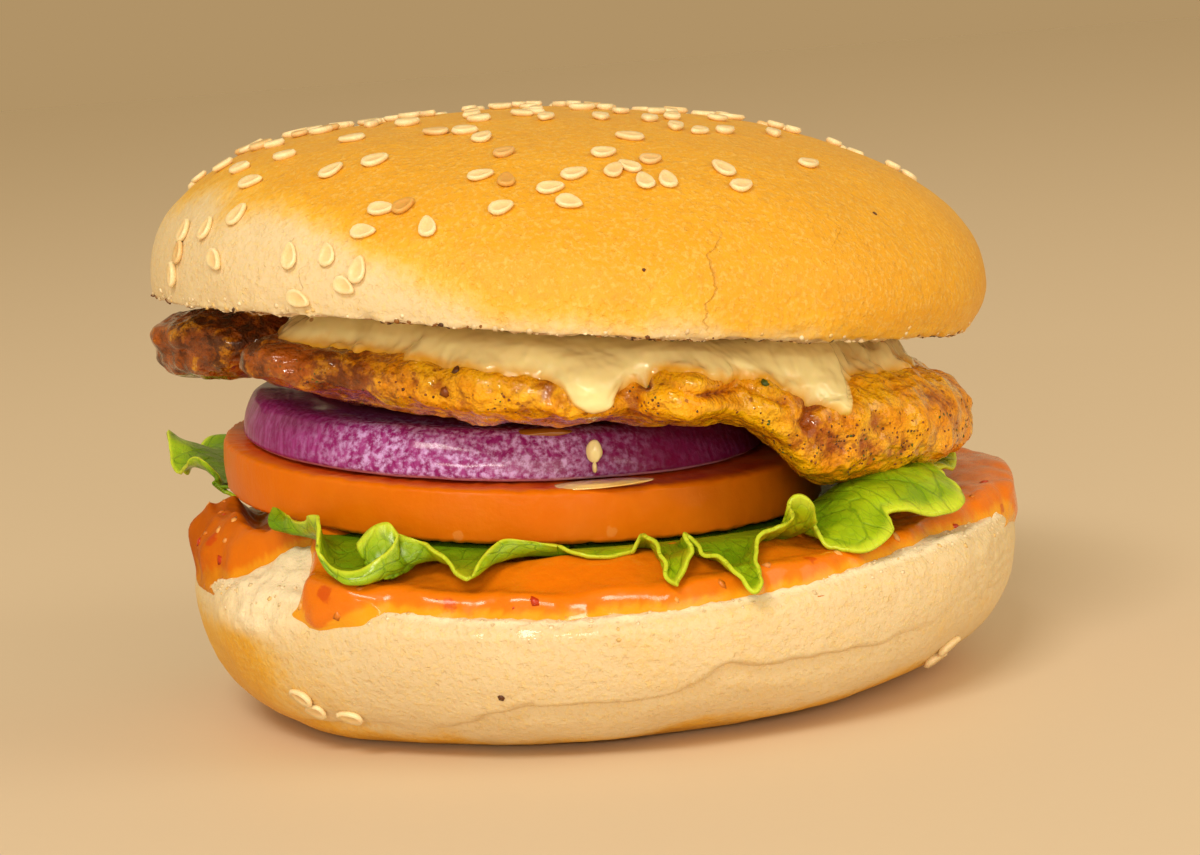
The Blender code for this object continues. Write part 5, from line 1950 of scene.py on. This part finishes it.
def soft_light(name, power, size, place, target, colour):
    """A soft rectangular light at a place, turned to face the target."""
    light = bpy.data.lights.new(name, "AREA")
    light.shape = "RECTANGLE"
    light.size, light.size_y = size
    light.energy = power
    light.color = colour
    lamp = link_new(name, light)
    lamp.location = place
    lamp.rotation_euler = (Vector(target) - Vector(place)).to_track_quat("-Z", "Y").to_euler()


def lay_floor(settings):
    corners = [(x * FLOOR_HALF, y * FLOOR_HALF, 0.0) for x, y in ((-1, -1), (1, -1), (1, 1), (-1, 1))]
    floor = new_object("floor", corners, [(0, 1, 2, 3)])
    made, tree = material("Pale_floor", 0.55, specular_ior_level=0.3)
    grain = mottle(tree, 2.0, 0.2, 0.8)
    darker = tuple(0.9 * part for part in settings.floor)
    colour = blend(tree, times(tree, grain, 0.06), settings.floor, darker)
    dress(tree, colour, bumps=[(grain, 0.00003, 0.2)])
    floor.data.materials.append(made)


def hang_backdrop(settings):
    """Even sky light, and a backdrop that the camera sees in the floor's own colour."""
    world = bpy.data.worlds.new("Studio")
    world.use_nodes = True
    sky = world.node_tree
    horizon = [part * light * match for part, light, match in zip(settings.floor, SKY, BACKDROP_MATCH)]
    glow, behind = (
        node(sky, "ShaderNodeBackground", {"Color": (*tint, 1.0), "Strength": SKY_STRENGTH}).outputs[0]
        for tint in (SKY, horizon))
    seen = node(sky, "ShaderNodeLightPath").outputs["Is Camera Ray"]
    both = node(sky, "ShaderNodeMixShader", {0: seen, 1: glow, 2: behind})
    sky.links.new(both.outputs[0], sky.nodes["World Output"].inputs["Surface"])
    bpy.context.scene.world = world


def place_camera():
    lens = bpy.data.cameras.new("camera")
    lens.lens, lens.sensor_width = CAMERA_LENS, CAMERA_SENSOR
    lens.clip_start, lens.clip_end = CAMERA_CLIP
    camera = link_new("camera", lens)
    target = Vector(CAMERA_TARGET)
    rise, roll = math.radians(CAMERA_RISE), math.radians(CAMERA_ROLL)
    place = target + CAMERA_AWAY * Vector((0.0, -math.cos(rise), math.sin(rise)))
    ahead = (target - place).normalized()
    right = Vector((1.0, 0.0, 0.0))
    up = right.cross(ahead)
    right, up = (math.cos(roll) * right - math.sin(roll) * up,
                 math.sin(roll) * right + math.cos(roll) * up)
    camera.matrix_world = Matrix.Translation(place) @ Matrix((right, up, -ahead)).transposed().to_4x4()
    bpy.context.scene.camera = camera


class SetStage(bpy.types.Operator):
    """Set the pale floor, the soft lights and the camera"""
    bl_idname = "burger.set_stage"
    bl_label = "Set Stage"

    def execute(self, context):
        settings = context.scene.stage_settings
        lay_floor(settings)
        hang_backdrop(settings)
        for name, share, size, place, colour in LIGHTS:
            soft_light(name, share * settings.key, size, place, LIT_POINT, colour)
        context.scene.view_settings.view_transform = "Standard"
        place_camera()
        return {"FINISHED"}


# ------------------------------ add-on

SETTINGS = {
    "bun_settings": BunSettings,
    "sauce_settings": SauceSettings,
    "salad_settings": SaladSettings,
    "chicken_settings": ChickenSettings,
    "stage_settings": StageSettings,
}
OPERATORS = (BakeCrown, BakeHeel, SprinkleSeeds, SpreadBurgerSauce, TearLettuce, CutTomato, CutOnion,
             GrillChicken, PourCream, DripJuices, ScatterCrumbs, SetStage)


class BurgerPanel(bpy.types.Panel):
    """Lists the burger's settings and the steps that build it"""
    bl_idname = "VIEW3D_PT_burger"
    bl_label = "Chicken Burger"
    bl_space_type = "VIEW_3D"
    bl_region_type = "UI"
    bl_category = "Burger"

    def draw(self, context):
        for title, settings in SETTINGS.items():
            box = self.layout.box()
            for name in settings.__annotations__:
                box.prop(getattr(context.scene, title), name)
        for operator in OPERATORS:
            self.layout.operator(operator.bl_idname)


def register():
    for settings in SETTINGS.values():
        bpy.utils.register_class(settings)
    for title, settings in SETTINGS.items():
        setattr(bpy.types.Scene, title, bpy.props.PointerProperty(type=settings))
    for operator in (*OPERATORS, BurgerPanel):
        bpy.utils.register_class(operator)


def unregister():
    for operator in reversed((*OPERATORS, BurgerPanel)):
        bpy.utils.unregister_class(operator)
    for title, settings in SETTINGS.items():
        delattr(bpy.types.Scene, title)
        bpy.utils.unregister_class(settings)


def main():
    register()
    for operator in OPERATORS:
        family, step = operator.bl_idname.split(".")
        getattr(getattr(bpy.ops, family), step)()


if __name__ == "__main__":
    main()
